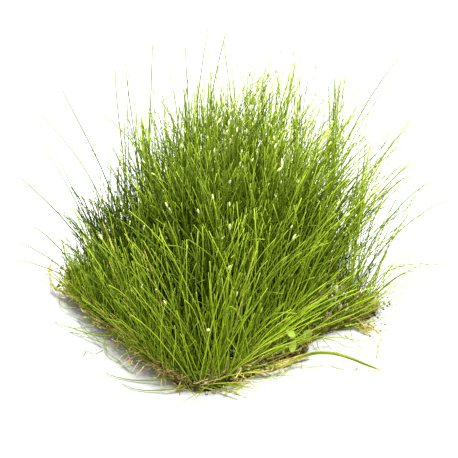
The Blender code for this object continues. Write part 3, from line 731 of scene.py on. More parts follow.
def planting_share(x, y):
    """How thickly the mat is planted at a place: in patches, thinly at the side corners and to the right."""
    right = min(math.hypot(x - 46 * MM, y + 46 * MM) / (30 * MM), 1.0)
    left = min(math.hypot(x + 46 * MM, y - 46 * MM) / (36 * MM), 1.0)
    across = part_way(ACROSS[0] * x + ACROSS[1] * y, 14 * MM, 30 * MM)
    patch = 0.8 + 0.9 * noise.noise(Vector((x, y, 0.31)) / (8 * MM))
    patch = min(max(patch, 0.25), 1.0)
    return (0.15 + 0.85 * right ** 2) * (0.1 + 0.9 * left) * (1.0 - 0.82 * across) * patch


def clump_feet(rng, look):
    """Middles of the small clumps, spaced over the mat's plan."""
    feet = np.empty((0, 2))
    while len(feet) < look.clump_count:
        place = rng.uniform(-MAT_REACH, MAT_REACH, 2)
        if share_of_rim(*place) > 0.985 or rng.uniform() > planting_share(*place):
            continue
        if len(feet) and np.linalg.norm(feet - place, axis=1).min() < CLUMP_GAP:
            continue
        feet = np.vstack((feet, place))
    return feet


def lean_at(place):
    """The usual lean of the stems at a place, as a slope in the plan."""
    across = place @ ACROSS / (50 * MM)
    deep = place @ DEEP / (50 * MM)
    front = part_way(-place[:, 1], 20 * MM, 25 * MM) * part_way(place[:, 0], -30 * MM, 40 * MM)
    slope = LEAN_RIGHT * np.clip(across, 0, None) + LEAN_LEFT * np.clip(across, None, 0) + LEAN_FRONT * front
    return slope[:, None] * ACROSS + (LEAN_REAR * deep)[:, None] * DEEP


def full_share(foot):
    """How long stems are for their place: shorter and shorter towards the left corner."""
    return 1.0 - LEFT_SHORTENING * part_way(-(foot @ ACROSS), 6 * MM, 52 * MM) ** 1.2


def kept_inside(foot, tip):
    """Tips drawn back towards their feet until they lie within the clump's box, grown a little."""
    low = np.array(CAD_BOX[0]) - 2 * MM
    high = np.array(CAD_BOX[1]) + (2 * MM, 2 * MM, -2 * MM)
    reach = tip - foot
    share = np.ones(len(foot))
    for axis in range(3):
        over = reach[:, axis] > 1e-9
        under = reach[:, axis] < -1e-9
        share[over] = np.minimum(share[over], (high[axis] - foot[over, axis]) / reach[over, axis])
        if axis < 2:
            share[under] = np.minimum(share[under], (low[axis] - foot[under, axis]) / reach[under, axis])
    return foot + reach * share[:, None]


def rooted(places):
    """Feet in the plan, set a little below the mat's surface."""
    return np.column_stack((places, np.array([ground_height(x, y) for x, y in places]) - ROOT_DEPTH))


def main_stems(look):
    """The stems of the whole mat, in small clumps that fan out from one place and end near one height."""
    rng = np.random.default_rng(SEED)
    middles = clump_feet(rng, look)
    sizes = np.clip(rng.poisson(look.stems_in_clump, len(middles)), 3, None)
    clump = np.repeat(np.arange(len(middles)), sizes)
    count = len(clump)
    foot = middles[clump] + rng.normal(0, 0.7 * MM, (count, 2))
    clump_lean = lean_at(middles) + rng.normal(0, 0.15, (len(middles), 2))
    loose = rng.uniform(size=count) < 0.5
    slope = clump_lean[clump] + rng.normal(0, 1, (count, 2)) * np.where(loose, 0.28, 0.12)[:, None]
    group = np.array([noise.noise(Vector((x, y, 0.7)) / (8 * MM)) for x, y in middles])
    tall = np.clip(rng.normal(0.7, 0.13, len(middles)) + 0.4 * group, 0.3, 1.1)[clump]
    short = rng.uniform(size=count) < 0.4
    own = np.where(short, rng.uniform(0.3, 0.95, count), 1 - np.abs(rng.normal(0, 0.13, count)))
    length = look.stem_length * full_share(foot) * np.clip(tall * own, 0.16, 1.2)
    foot = rooted(foot)
    tip = kept_inside(foot, foot + unit(np.column_stack((slope, np.ones(count)))) * length[:, None])
    widths, tone = stem_make(rng, look, 0.04 + 0.3 * (tall * own > 0.6))
    outer = np.array([share_of_rim(x, y) for x, y in middles])[clump]
    across = foot[:, :2] @ ACROSS
    # Tone differs at random from clump to clump. It is lighter towards the rim, in part as painted light for
    # the light that reaches the clump's edge. It is also lighter to the right and at the rear, and darker
    # inside on the left.
    tone = tone + rng.normal(0, 0.1, len(middles))[clump] + 0.12 * part_way(outer, 0.65, 0.35)
    tone = tone + 0.32 * part_way(across, 5 * MM, 35 * MM) + 0.34 * part_way(foot[:, :2] @ DEEP, 0, 30 * MM)
    tone = np.clip(tone - 0.2 * part_way(-across, 0, 30 * MM) * (outer < 0.9), 0, 1.1)
    age = np.where(rng.uniform(size=count) < 0.012, rng.uniform(0.4, 0.9, count), 0.0) * (length < 34 * MM)
    wave = np.where(rng.uniform(size=count) < 0.1, 0.09, 0.025)
    return stems_between(foot, tip, rng, widths, tone, age, wave=wave)


def tall_stems(look):
    """The bundles of tall stems that stand out of the clump."""
    rng = np.random.default_rng(SEED + 9)
    sets = []
    for place, end, count in TALL_BUNDLES:
        foot = rooted(np.array(place) * MM + rng.normal(0, 1.3 * MM, (count, 2)))
        end = np.array(end) * MM + rng.normal(0, 1, (count, 3)) * (2.4 * MM, 2.4 * MM, 0.8 * MM)
        tip = kept_inside(foot, foot + (end - foot) * (1.03 - np.abs(rng.normal(0, 0.24, (count, 1)))))
        widths, tone = stem_make(rng, look, np.full(count, 0.5))
        widths = widths * 1.35
        sets.append(stems_between(foot, tip, rng, widths, tone, 0.0, wave=0.02))
    return join_stems(sets)


def stem_make(rng, look, share):
    """Thickness and tone: fine darker stems, with a share of stouter and lighter ones among them."""
    count = len(share)
    light = rng.uniform(size=count) < share
    widths = np.where(light, rng.uniform(0.75, 1.15, count), rng.uniform(0.7, 1.1, count))
    tone = np.where(light, rng.normal(0.8, 0.2, count), rng.normal(0.18, 0.13, count))
    return look.stem_thickness * widths, np.clip(tone, 0, 1)


def rim_directions(start, end):
    """A rim's own direction and the one outwards from it, in the plan."""
    along = (end - start) / np.linalg.norm(end - start)
    out = np.array((along[1], -along[0]))
    return along, out if out @ (start + end) > 0 else -out


def on_side(foot, height):
    """Places on the mat's side, outwards from feet in the plan, at given heights."""
    angles = np.arctan2(foot[:, 1], foot[:, 0])
    radii = [plan_radius(a) + side_reach(z, a) - 0.3 * MM for a, z in zip(angles, height)]
    return np.column_stack((radii * np.cos(angles), radii * np.sin(angles), height))


def rim_stems(look):
    """Stems rooted on the front rims: some upright, some slanting along the rim, some low over its edge."""
    rng = np.random.default_rng(SEED + 1)
    sets = []
    for start, end, count, slanting, long in RIMS:
        count = int(count * look.rim_planting)
        start, end = np.array(start) * MM, np.array(end) * MM
        along, out = rim_directions(start, end)
        foot = start + (end - start) * rng.uniform(0, 1, (count, 1))
        foot = on_side(foot + out * rng.normal(0, 1.0 * MM, (count, 1)), rng.uniform(2.0, 7.4, count) * MM)
        top = np.array([ground_height(x * 0.985, y * 0.985) for x, y in foot[:, :2]])
        foot[:, 2] = np.minimum(foot[:, 2], np.maximum(top - 0.4 * MM, 0.8 * MM))
        kind = rng.uniform(size=count)
        upright = kind < 1.0 - slanting
        low = kind > 0.93
        lean_along = np.where(upright, rng.normal(0.0, 0.28, count), rng.uniform(0.35, 1.1, count))
        lean_along -= np.where(upright, 0.16 * (foot[:, 0] < -40 * MM), 0)
        lean_out = np.where(upright, rng.normal(0.1, 0.16, count), rng.uniform(0.08, 0.4, count))
        rise = np.where(upright, 1.0, rng.uniform(0.35, 0.95, count))
        lean_out[low] = rng.uniform(0.2, 0.7, int(low.sum()))
        rise[low] = rng.uniform(-0.08, 0.25, int(low.sum()))
        heading = unit(np.column_stack((lean_along[:, None] * along + lean_out[:, None] * out, rise)))
        length = np.where(upright, rng.uniform(0.3, 0.85, count), rng.uniform(0.2, long, count))
        length = length * look.stem_length * full_share(foot[:, :2]) * np.where(low, 0.5, 1.0)
        length = length * np.where(upright, 1.0, 1.0 - 0.7 * part_way(foot[:, 1], 5 * MM, 30 * MM))
        tip = kept_inside(foot, foot + heading * length[:, None])
        tip[:, 2] = np.maximum(tip[:, 2], 1.0 * MM)
        widths, tone = stem_make(rng, look, np.full(count, 0.45))
        # Painted light: the front rim stems are made lighter, less so on the left side, in place of the light
        # that falls on the front of the clump.
        tone = np.clip(tone + np.where(foot[:, 0] < -42 * MM, 0.15, 0.42), 0, 1.25)
        age = np.where(rng.uniform(size=count) < 0.04, 0.8, 0.0)
        stems = stems_between(foot, tip, rng, widths, tone, age, sag=np.where(upright, 0.05, 0.1), wave=0.03)
        clear = (np.abs(foot[:, 0] - 0.5 * MM) > 7.5 * MM) | (foot[:, 1] > -30 * MM)
        sets.append({key: value[clear] for key, value in stems.items()})
    for start, end, count in SKIRTS:
        start, end = np.array(start) * MM, np.array(end) * MM
        along, out = rim_directions(start, end)
        place = start + (end - start) * rng.uniform(0, 1, (count, 1)) ** 1.2
        foot = on_side(place, rng.uniform(1.8, 7.2, count) * MM)
        lean_out = rng.normal(0.12, 0.09, (count, 1))
        heading = unit(np.column_stack((along + out * lean_out, rng.uniform(0.0, 0.45, count))))
        tip = kept_inside(foot, foot + heading * rng.uniform(10, 27, (count, 1)) * MM)
        tip[:, 2] = np.maximum(tip[:, 2], 1.5 * MM)
        widths = look.stem_thickness * rng.uniform(0.8, 1.4, count)
        age = np.where(rng.uniform(size=count) < 0.3, 0.8, 0.0)
        tone = rng.uniform(0.5, 1.1, count)
        sets.append(stems_between(foot, tip, rng, widths, tone, age, sag=0.03, wave=0.02))
    return join_stems(sets)


def named_stems(rows, rng, look, tone=0.6, age=0.0, thick=1.0, flat=1.0):
    """Stems with a foot, a place they pass and a tip each, in millimetres."""
    foot, middle, tip = (np.array([row[k] for row in rows], dtype=float) * MM for k in range(3))
    foot[:, 2] = [ground_height(x, y) - 1.0 * MM for x, y in foot[:, :2]]
    stems = stems_between(foot, tip, rng, look.stem_thickness * thick, tone, age, flat=flat)
    bend = middle * 2 - (foot + tip) / 2
    stems["knee"] = foot + (bend - foot) * 2 / 3
    stems["neck"] = tip + (bend - tip) * 2 / 3
    return stems


def smooth_line(points, count):
    """Points read at even steps from a smooth curve through the given ones, in metres."""
    points = [Vector(p) * MM for p in points]
    padded = [points[0] * 2 - points[1]] + points + [points[-1] * 2 - points[-2]]
    line = []
    for step in range(count):
        s = step / (count - 1) * (len(points) - 1)
        k = min(int(s), len(points) - 2)
        t = s - k
        a, b, c, d = padded[k:k + 4]
        line.append(0.5 * (2 * b + (c - a) * t + (2 * a - 5 * b + 4 * c - d) * t ** 2
                           + (3 * b - a - 3 * c + d) * t ** 3))
    return np.array(line)


class Lines:
    """Strands as lines of points, gathered until a piece is drawn from them."""

    def __init__(self):
        self.points = []
        self.edges = []
        self.values = {"thick": [], "along": [], "tone": [], "age": []}

    def add(self, line, thick, tone=0.5, age=0.0):
        first = len(self.points)
        count = len(line)
        self.points += [tuple(p) for p in line]
        self.edges += [(first + k, first + k + 1) for k in range(count - 1)]
        along = np.linspace(0.0, 1.0, count)
        for key, value in (("thick", thick), ("along", along), ("tone", tone), ("age", age)):
            self.values[key] += list(np.broadcast_to(value, (count,)))

    def put(self, name, finish, sides, slot, replaced=None):
        """Draws the strands and places them in the scene as one piece."""
        seats = bpy.data.meshes.new(name)
        seats.from_pydata(self.points, self.edges, [])
        for key, values in self.values.items():
            seats.attributes.new(key, "FLOAT", "POINT").data.foreach_set("value", values)
        mesh = grown_mesh(name, seats, SHARED["strands"], {"Sides": sides, "Finish": finish})
        put(name, mesh, replaced)


def put(name, mesh, replaced=None):
    """Places a finished mesh in the scene as a piece of the clump."""
    points = np.empty(len(mesh.vertices) * 3, dtype=np.float32)
    mesh.vertices.foreach_get("co", points)
    points[2::3] = np.maximum(points[2::3], LOWEST)
    mesh.vertices.foreach_set("co", points)
    piece = link(bpy.data.objects.new(name, mesh))
    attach(piece, "root")
    if replaced:
        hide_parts(replaced)
    return piece


def put_stems(name, values, sizes, replaced=None):
    """Grows stems from their arrays, as one piece."""
    seats = seat_mesh(name, values["foot"], values)
    put(name, grown_mesh(name, seats, SHARED["stems"], sizes), replaced)


def put_lumps(name, places, sizes, turns, finish, roughness):
    """Rough lumps at places, each with its own three sizes and turns, as one piece."""
    seats = seat_mesh(name, places, {"size": sizes, "turn": turns})
    sizes = {"Detail": 2, "Roughness": roughness, "Finish": finish}
    put(name, grown_mesh(name, seats, SHARED["lumps"], sizes))


SHARED = {}


def how_many(name, description, default):
    return bpy.props.IntProperty(name=name, description=description, default=default, min=1)


def length_of(name, description, default):
    return bpy.props.FloatProperty(
        name=name, description=description, default=default, subtype="DISTANCE", unit="LENGTH", precision=5)


def colour_of(name, description, default):
    return bpy.props.FloatVectorProperty(name=name, description=description, default=default, subtype="COLOR")


class RushLook(bpy.types.PropertyGroup):
    """Sizes and colours of the clump."""

    clump_count: how_many("Clump count", "How many small clumps the mat bears", 640)
    stems_in_clump: bpy.props.FloatProperty(
        name="Stems in a clump", description="How many stems a small clump has, about", default=8.5, min=1)
    rim_planting: bpy.props.FloatProperty(
        name="Rim planting", description="How thickly the front rims are planted", default=1.0, min=0)
    stem_length: length_of("Stem length", "Length of a long stem", 80 * MM)
    stem_thickness: length_of("Stem thickness", "Thickness of a stem at its foot", 0.345 * MM)
    sheath_count: how_many("Sheath count", "How many dry sheaths lie among the stems' feet", 1000)
    fibre_count: how_many("Fibre count", "How many fine roots show on the mat's side", 900)
    crumb_count: how_many("Crumb count", "How many soil crumbs lie on the mat", 1500)
    grain_count: how_many("White grain count", "How many white grains the soil has", 900)
    stem_dark: colour_of("Dark green", "The darkest stems", (0.035, 0.068, 0.001))
    stem_light: colour_of("Light green", "The lightest stems", (0.29, 0.42, 0.014))
    # Painted shade: the colour towards which stems low in the middle of the clump are darkened.
    stem_painted_shade: colour_of("Deep green", "Stems low in the middle of the clump", (0.012, 0.026, 0.0003))
    # Paler towards the tips; also the colour of the painted highlight streaks on the lighter stems.
    tip_and_highlight: colour_of("Tip", "Colour towards the tips", (0.48, 0.55, 0.11))
    blade: colour_of("Blade", "The flat blades", (0.22, 0.34, 0.03))
    spikelet: colour_of("Spikelet", "The spikelets' scales", (0.68, 0.70, 0.36))
    dry_dark: colour_of("Dark straw", "Dry sheaths, dark", (0.13, 0.095, 0.008))
    dry_light: colour_of("Light straw", "Dry sheaths, light", (0.70, 0.58, 0.17))
    root_brown: colour_of("Brown root", "Older roots and runners", (0.27, 0.17, 0.02))
    root_pale: colour_of("Pale root", "Young roots", (0.78, 0.66, 0.32))
    soil_dark: colour_of("Dark soil", "Damp soil", (0.018, 0.017, 0.003))
    soil_light: colour_of("Light soil", "Drier soil", (0.10, 0.09, 0.013))
    fibre: colour_of("Fibre", "Fine roots in the soil", (0.30, 0.26, 0.07))
    grain: colour_of("White grain", "The white grains in the soil", (0.85, 0.81, 0.62))
    leaf_dark: colour_of("Seedling dark", "The seedling's leaves, dark", (0.17, 0.23, 0.012))
    leaf_light: colour_of("Seedling light", "The seedling's leaves, light", (0.33, 0.44, 0.06))


class SPIKERUSH_OT_stage(bpy.types.Operator):
    """Lay the pale floor, hang the lights and set up the camera"""

    bl_idname = "spikerush.stage"
    bl_label = "Stage"

    def execute(self, context):
        scene = context.scene
        scene.view_settings.view_transform = "Standard"
        world = bpy.data.worlds.new("pale room")
        world.use_nodes = True
        background = world.node_tree.nodes["Background"]
        background.inputs["Color"].default_value = (1.0, 1.0, 1.0, 1.0)
        background.inputs["Strength"].default_value = ROOM_STRENGTH
        scene.world = world
        camera = bpy.data.objects.new("camera", bpy.data.cameras.new("camera"))
        camera.data.lens = CAMERA_FOCAL
        camera.data.clip_start = 10 * MM
        level = math.cos(CAMERA_PITCH)
        back = Vector((math.sin(CAMERA_YAW) * level, -math.cos(CAMERA_YAW) * level, math.sin(CAMERA_PITCH)))
        camera.location = CAMERA_AIM + back * CAMERA_DISTANCE
        camera.rotation_euler = (-back).to_track_quat("-Z", "Y").to_euler()
        link(camera)
        scene.camera = camera
        bm = bmesh.new()
        bmesh.ops.create_grid(bm, x_segments=1, y_segments=1, size=FLOOR_HALF)
        mesh = bpy.data.meshes.new("floor")
        bm.to_mesh(mesh)
        bm.free()
        mesh.materials.append(Finish("white floor").ended(FLOOR_COLOUR, 0.9, gloss=0.0))
        link(bpy.data.objects.new("floor", mesh))
        lamp = bpy.data.lights.new("key", "AREA")
        lamp.shape = "DISK"
        lamp.size = KEY_SIZE
        lamp.energy = KEY_POWER
        key = link(bpy.data.objects.new("key", lamp))
        key.location = KEY_PLACE
        key.rotation_euler = (-KEY_PLACE).to_track_quat("-Z", "Y").to_euler()
        return {"FINISHED"}


class SPIKERUSH_OT_mat(bpy.types.Operator):
    """Make the mat of soil and roots"""

    bl_idname = "spikerush.mat"
    bl_label = "Root mat"

    def execute(self, context):
        look = context.scene.spikerush
        noise.seed_set(SEED)
        bm = bmesh.new()
        bmesh.ops.create_grid(bm, x_segments=MAT_CELLS, y_segments=MAT_CELLS, size=1.0)
        for v in bm.verts:
            share = max(abs(v.co.x), abs(v.co.y))
            angle = math.atan2(v.co.y, v.co.x)
            radius = share * plan_radius(angle)
            v.co.x = radius * math.cos(angle)
            v.co.y = radius * math.sin(angle)
            rough = noise.fractal(Vector(v.co) / (3 * MM), 0.6, 2.0, 4) * 0.7 * MM
            v.co.z = ground_height(v.co.x, v.co.y) + rough
        edges = [e for e in bm.edges if e.is_boundary]
        for height, reach in MAT_SIDE:
            made = bmesh.ops.extrude_edge_only(bm, edges=edges)["geom"]
            edges = [g for g in made if isinstance(g, bmesh.types.BMEdge)]
            for v in (g for g in made if isinstance(g, bmesh.types.BMVert)):
                angle = math.atan2(v.co.y, v.co.x)
                radius = plan_radius(angle) + side_reach(height * MM, angle)
                rim = plan_radius(angle) * 0.995
                rim = (rim * math.cos(angle), rim * math.sin(angle))
                level = height * MM * min(ground_height(*rim) / (7.2 * MM), 1.0)
                v.co = Vector((radius * math.cos(angle), radius * math.sin(angle), level))
        bmesh.ops.contextual_create(bm, geom=edges)
        for v in bm.verts:
            if 0.3 * MM < v.co.z < 7.4 * MM:
                push = noise.noise_vector(v.co / (2.2 * MM)) * 0.8 * MM
                v.co.x += push.x
                v.co.y += push.y
        bmesh.ops.recalc_face_normals(bm, faces=bm.faces)
        mesh = bpy.data.meshes.new("root_mat_soil")
        bm.to_mesh(mesh)
        bm.free()
        mesh.materials.append(soil_finish("damp soil", look))
        put("root_mat_soil", mesh, "root_mat")
        return {"FINISHED"}


class SPIKERUSH_OT_tufts(bpy.types.Operator):
    """Grow the fine stems of every tuft, with the long ones that reach out of the clump"""

    bl_idname = "spikerush.tufts"
    bl_label = "Tufts"

    def execute(self, context):
        look = context.scene.spikerush
        SHARED["stems"] = stem_tree()
        finish = SHARED["stem finish"] = stem_finish("spikerush stem", look)
        sizes = {"Sides": 4, "Rings": 9, "Taper": 0.3, "Finish": finish}
        rng = np.random.default_rng(SEED + 2)
        stems = join_stems((main_stems(look), tall_stems(look), rim_stems(look)))
        crowns = TUFTS + STRAYS
        middles = np.array([foot_of(name) for name in crowns])
        away = np.linalg.norm(stems["foot"][:, None, :2] - middles[None], axis=2)
        nearest = away.argmin(axis=1)
        for index, name in enumerate(crowns):
            sets = [{key: value[nearest == index] for key, value in stems.items()}]
            if name in LONG_STEMS:
                rows = LONG_STEMS[name]
                sets.append(named_stems(rows, rng, look, tone=rng.uniform(0.3, 0.6, len(rows)), thick=1.45))
            put_stems(name + "_stems", join_stems(sets), sizes, name)
        SHARED["values"] = stems
        return {"FINISHED"}


class SPIKERUSH_OT_blades(bpy.types.Operator):
    """Grow the two flat blades"""

    bl_idname = "spikerush.blades"
    bl_label = "Flat blades"

    def execute(self, context):
        look = context.scene.spikerush
        rng = np.random.default_rng(SEED + 3)
        sizes = {"Sides": 8, "Rings": 24, "Taper": 0.75, "Finish": blade_finish("flat blade", look)}
        for name, row in BLADES.items():
            values = named_stems((row,), rng, look, thick=2.7, flat=0.3)
            values["side"] = np.array([(*ACROSS, 0.0)]) * (1.0, -1.0, 1.0)
            put_stems(name + "_leaf", values, sizes, name)
        return {"FINISHED"}


class SPIKERUSH_OT_spikelets(bpy.types.Operator):
    """Set the small flower spikes on some of the stems' tips"""

    bl_idname = "spikerush.spikelets"
    bl_label = "Spikelets"

    def execute(self, context):
        look = context.scene.spikerush
        rng = np.random.default_rng(SEED + 4)
        values = SHARED["values"]
        height = values["tip"][:, 2]
        high = height > SPIKELET_HEIGHT
        across = values["tip"][:, :2] @ ACROSS
        rear = (values["tip"][:, :2] @ DEEP > 20 * MM) & (height > SPIKELET_HEIGHT + 10 * MM)
        chance = np.where((across > -4 * MM) & (across < 50 * MM) & rear, REAR_SPIKELETS, OTHER_SPIKELETS)
        chosen = np.flatnonzero(high & (rng.uniform(size=len(high)) < chance) & (values["age"] < 0.1))
        tips = list(values["tip"][chosen])
        heads = list((values["tip"] - values["neck"])[chosen])
        for rows in LONG_STEMS.values():
            for foot, middle, tip, bears in rows:
                if bears:
                    tips.append(np.array(tip) * MM)
                    heads.append(np.array(tip) - np.array(middle))
        tips = np.array(tips)
        turns = np.array([Vector(h).to_track_quat("Z", "Y").to_euler()[:] for h in heads])
        length = rng.uniform(0.9, 1.7, len(tips)) * MM
        sizes = np.column_stack((length * 0.27, length * 0.27, length))
        put_lumps("spikelets", tips, sizes, turns, spikelet_finish("spikelet scales", look), 0.1 * MM)
        return {"FINISHED"}


class SPIKERUSH_OT_sheaths(bpy.types.Operator):
    """Lay dry sheaths and old stems among the stems' feet and over the rim"""

    bl_idname = "spikerush.sheaths"
    bl_label = "Dry sheaths"

    def execute(self, context):
        look = context.scene.spikerush
        rng = np.random.default_rng(SEED + 5)
        feet = []
        while len(feet) < look.sheath_count:
            x, y = rng.uniform(-MAT_REACH, MAT_REACH, 2)
            share = share_of_rim(x, y)
            if share < 0.99 and rng.uniform() < 0.12 + max(0.0, (share - 0.7) / 0.3):
                feet.append((x, y, ground_height(x, y) - 1.0 * MM))
        own = len(feet)
        for x, y, z, spread, bits in DEAD_TUFTS:
            off = rng.normal(0, 1, (bits, 3)) * (spread * MM, spread * MM, 0.8 * MM)
            feet += [tuple(p) for p in np.array((x, y, z)) * MM + off]
        feet = np.array(feet)
        feet[:, 2] = np.maximum(feet[:, 2], 0.5 * MM)
        count = len(feet)
        share = np.array([share_of_rim(x, y) for x, y, z in feet])
        out = unit(feet[:, :2]) * part_way(share, 0.75, 0.25)[:, None] * 0.4
        heading = unit(np.column_stack((out + rng.normal(0, 0.5, (count, 2)), rng.uniform(0.2, 1.2, count))))
        heading[own:] = rng.normal(0, 1, (count - own, 3)) * (0.7, 0.7, 0.35)
        reach = rng.uniform(3, 8, (count, 1)) * MM
        reach[own:] *= 0.5
        tip = kept_inside(feet, feet + heading * reach)
        tip[:, 2] = np.maximum(tip[:, 2], 0.5 * MM)
        thick = look.stem_thickness * rng.uniform(0.7, 1.6, count)
        stems = stems_between(feet, tip, rng, thick, rng.uniform(0.25, 1.1, count), 1.0, wave=0.09, flat=0.6)
        sizes = {"Sides": 4, "Rings": 4, "Taper": 0.5, "Finish": dry_finish("dry sheath", look)}
        put_stems("dry_sheaths", stems, sizes)
        return {"FINISHED"}


class SPIKERUSH_OT_fibres(bpy.types.Operator):
    """Wind fine roots around the mat's side"""

    bl_idname = "spikerush.fibres"
    bl_label = "Root fibres"

    def execute(self, context):
        look = context.scene.spikerush
        rng = np.random.default_rng(SEED + 6)
        lines = Lines()
        for k in range(look.fibre_count):
            angle = rng.uniform(-math.pi, math.pi)
            height = rng.uniform(0.8, 8.6) * MM
            swing = rng.normal(0, 0.05)
            drop = rng.normal(-0.4, 0.6) * MM
            count = int(rng.integers(6, 12))
            phase = rng.uniform(0, math.tau)
            line = []
            for step in range(count):
                a = angle + swing * step * 0.45
                z = height + drop * step + 0.5 * MM * math.sin(phase + step * 1.3)
                z = min(max(z, 0.3 * MM), 9.0 * MM)
                proud = (0.25 + 0.45 * math.sin(phase * 2 + step * 0.9)) * MM
                radius = plan_radius(a) + side_reach(z, a) + proud
                line.append((radius * math.cos(a), radius * math.sin(a), z))
            lines.add(line, rng.uniform(0.14, 0.34) * MM, tone=rng.uniform(0, 1) ** 2)
        lines.put("root_fibres", root_finish("fine root", look), 4, "root")
        return {"FINISHED"}


class SPIKERUSH_OT_soil(bpy.types.Operator):
    """Scatter soil crumbs and white grains on the mat"""

    bl_idname = "spikerush.soil"
    bl_label = "Crumbs and grains"

    def execute(self, context):
        look = context.scene.spikerush
        rng = np.random.default_rng(SEED + 7)
        crumbs = self.places(rng, look.crumb_count)
        own = len(crumbs)
        for x, y, spread, count in LOOSE_CRUMBS:
            places = np.array((x, y)) * MM + rng.normal(0, spread * MM, (count, 2))
            crumbs = np.vstack((crumbs, np.column_stack((places, np.full(count, 0.3 * MM)))))
        sizes = rng.uniform(0.35, 0.95, (len(crumbs), 1)) * rng.uniform(0.6, 1.3, (len(crumbs), 3)) * MM
        sizes[own:] *= 0.6
        finish = grain_finish("soil crumb", look.soil_dark, look.soil_light)
        turns = rng.uniform(0, math.tau, sizes.shape)
        put_lumps("soil_crumbs", crumbs, sizes, turns, finish, 0.3 * MM)
        grains = self.places(rng, look.grain_count)
        sizes = rng.uniform(0.25, 0.85, (len(grains), 1)) * rng.uniform(0.7, 1.2, (len(grains), 3)) * MM
        lumps = np.array(PALE_LUMPS)
        grains = np.vstack((grains, lumps[:, :3] * MM))
        sizes = np.vstack((sizes, lumps[:, 3:] * (0.6, 0.45, 0.5) * MM))
        finish = grain_finish("white grain", look.fibre, look.grain)
        turns = rng.uniform(0, math.tau, sizes.shape)
        put_lumps("white_grains", grains, sizes, turns, finish, 0.15 * MM)
        return {"FINISHED"}

    def places(self, rng, count):
        """A quarter anywhere on the top, and the rest thick about the bare places."""
        places = []
        while len(places) < count:
            if rng.uniform() < 0.25:
                x, y = rng.uniform(-MAT_REACH, MAT_REACH, 2)
            else:
                middle = BARE_PLACES[int(rng.integers(len(BARE_PLACES)))]
                x, y = np.array(middle[:2]) * MM + rng.normal(0, middle[2] * MM, 2)
            share = share_of_rim(x, y)
            if share < 0.99:
                places.append((x, y, ground_height(x, y) + 0.2 * MM))
            elif share < 1.06:
                angle = math.atan2(y, x)
                height = rng.uniform(0.5 * MM, max(ground_height(x * 0.94, y * 0.94), 1.0 * MM))
                radius = plan_radius(angle) + side_reach(height, angle)
                places.append((radius * math.cos(angle), radius * math.sin(angle), height))
        return np.array(places)


class SPIKERUSH_OT_strands(bpy.types.Operator):
    """Draw the trailing stems, runners, hanging roots and the arching dry bundle"""

    bl_idname = "spikerush.strands"
    bl_label = "Trailing stems and runners"

    def execute(self, context):
        look = context.scene.spikerush
        rng = np.random.default_rng(SEED + 8)
        green = SHARED["stem finish"]
        root = root_finish("hanging root", look)
        for name, points in TRAILING.items():
            self.single(name, "_stem", points, np.linspace(0.62, 0.3, 26), 0.7, green, 6, "stem")
        for name, points in ROOTS.items():
            self.single(name, "_root", points, np.linspace(0.62, 0.28, 22), 0.9, root, 6, "root")
        at = np.linspace(0, 1, 60)
        knots = np.exp(-((at * 7.0) % 1.0 - 0.5) ** 2 / 0.012)
        thick = 0.6 - 0.15 * at + 0.5 * knots
        for name, points in RUNNERS.items():
            self.single(name, "_nodes", points, thick, 0.3 - 0.3 * knots, root, 7, "root")
        self.loose("low_stems", LOW_STRANDS + RIGHT_STRANDS, rng, green, "stem", 0.7)
        self.loose("straw_strands", STRAW_STRANDS, rng, dry_finish("straw", look), "dry_sheath", 1.0)
        self.loose("pale_roots", PALE_ROOTS, rng, root, "root", 1.0)
        self.arch(rng)
        return {"FINISHED"}

    def single(self, name, ending, points, thick, tone, finish, sides, slot):
        """One strand through its points, in place of its solid."""
        lines = Lines()
        lines.add(smooth_line(points, len(thick)), thick * MM, tone=tone)
        lines.put(name + ending, finish, sides, slot, name)

    def loose(self, name, rows, rng, finish, slot, tone):
        """Thin strands through the points of a table, each a little thinner towards its end."""
        lines = Lines()
        for thick, *points in rows:
            line = smooth_line(points, 16)
            lines.add(line, np.linspace(1.25, 0.7, 16) * thick * MM, tone=tone + rng.uniform(-0.1, 0.2))
        lines.put(name, finish, 5, slot)

    def arch(self, rng):
        """Strands that lie side by side along the arch and part towards its end."""
        lines = Lines()
        count = 40
        line = smooth_line(ARCH, count)
        at = np.linspace(0, 1, count)
        spread = np.interp(at, np.linspace(0, 1, len(ARCH_RADII)), ARCH_RADII) * MM
        thick = np.interp(at, (0, 0.45, 0.6, 0.85, 1), (0.26, 0.32, 0.5, 0.5, 0.3)) * MM
        usual_age = np.interp(at, (0, 0.3, 0.5, 0.86, 0.95), (0.9, 0.6, 0.0, 0.1, 1.0))
        ahead = unit(np.gradient(line, axis=0))
        side = unit(np.cross(ahead, (0.0, 0.0, 1.0)))
        up = np.cross(side, ahead)
        for k in range(ARCH_STRANDS):
            first = int(rng.integers(0, 6)) if k else 0
            last = int(rng.integers(26, count)) if k > 2 else count
            turn = math.tau * k / ARCH_STRANDS + at * rng.normal(0, 2.0) + rng.uniform(0, 1)
            off = 0.42 * spread * rng.uniform(0.5, 1.1)
            strand = line + side * (off * np.cos(turn))[:, None] + up * (off * np.sin(turn))[:, None]
            strand[:, 2] = np.maximum(strand[:, 2], 0.35 * MM)
            age = np.clip(usual_age + rng.normal(0, 0.15), 0, 1)
            lines.add(strand[first:last], thick[first:last], tone=rng.uniform(0.35, 0.8), age=age[first:last])
        lines.put("arching_bundle_strands", SHARED["stem finish"], 6, "dry_sheath", "arching_bundle")


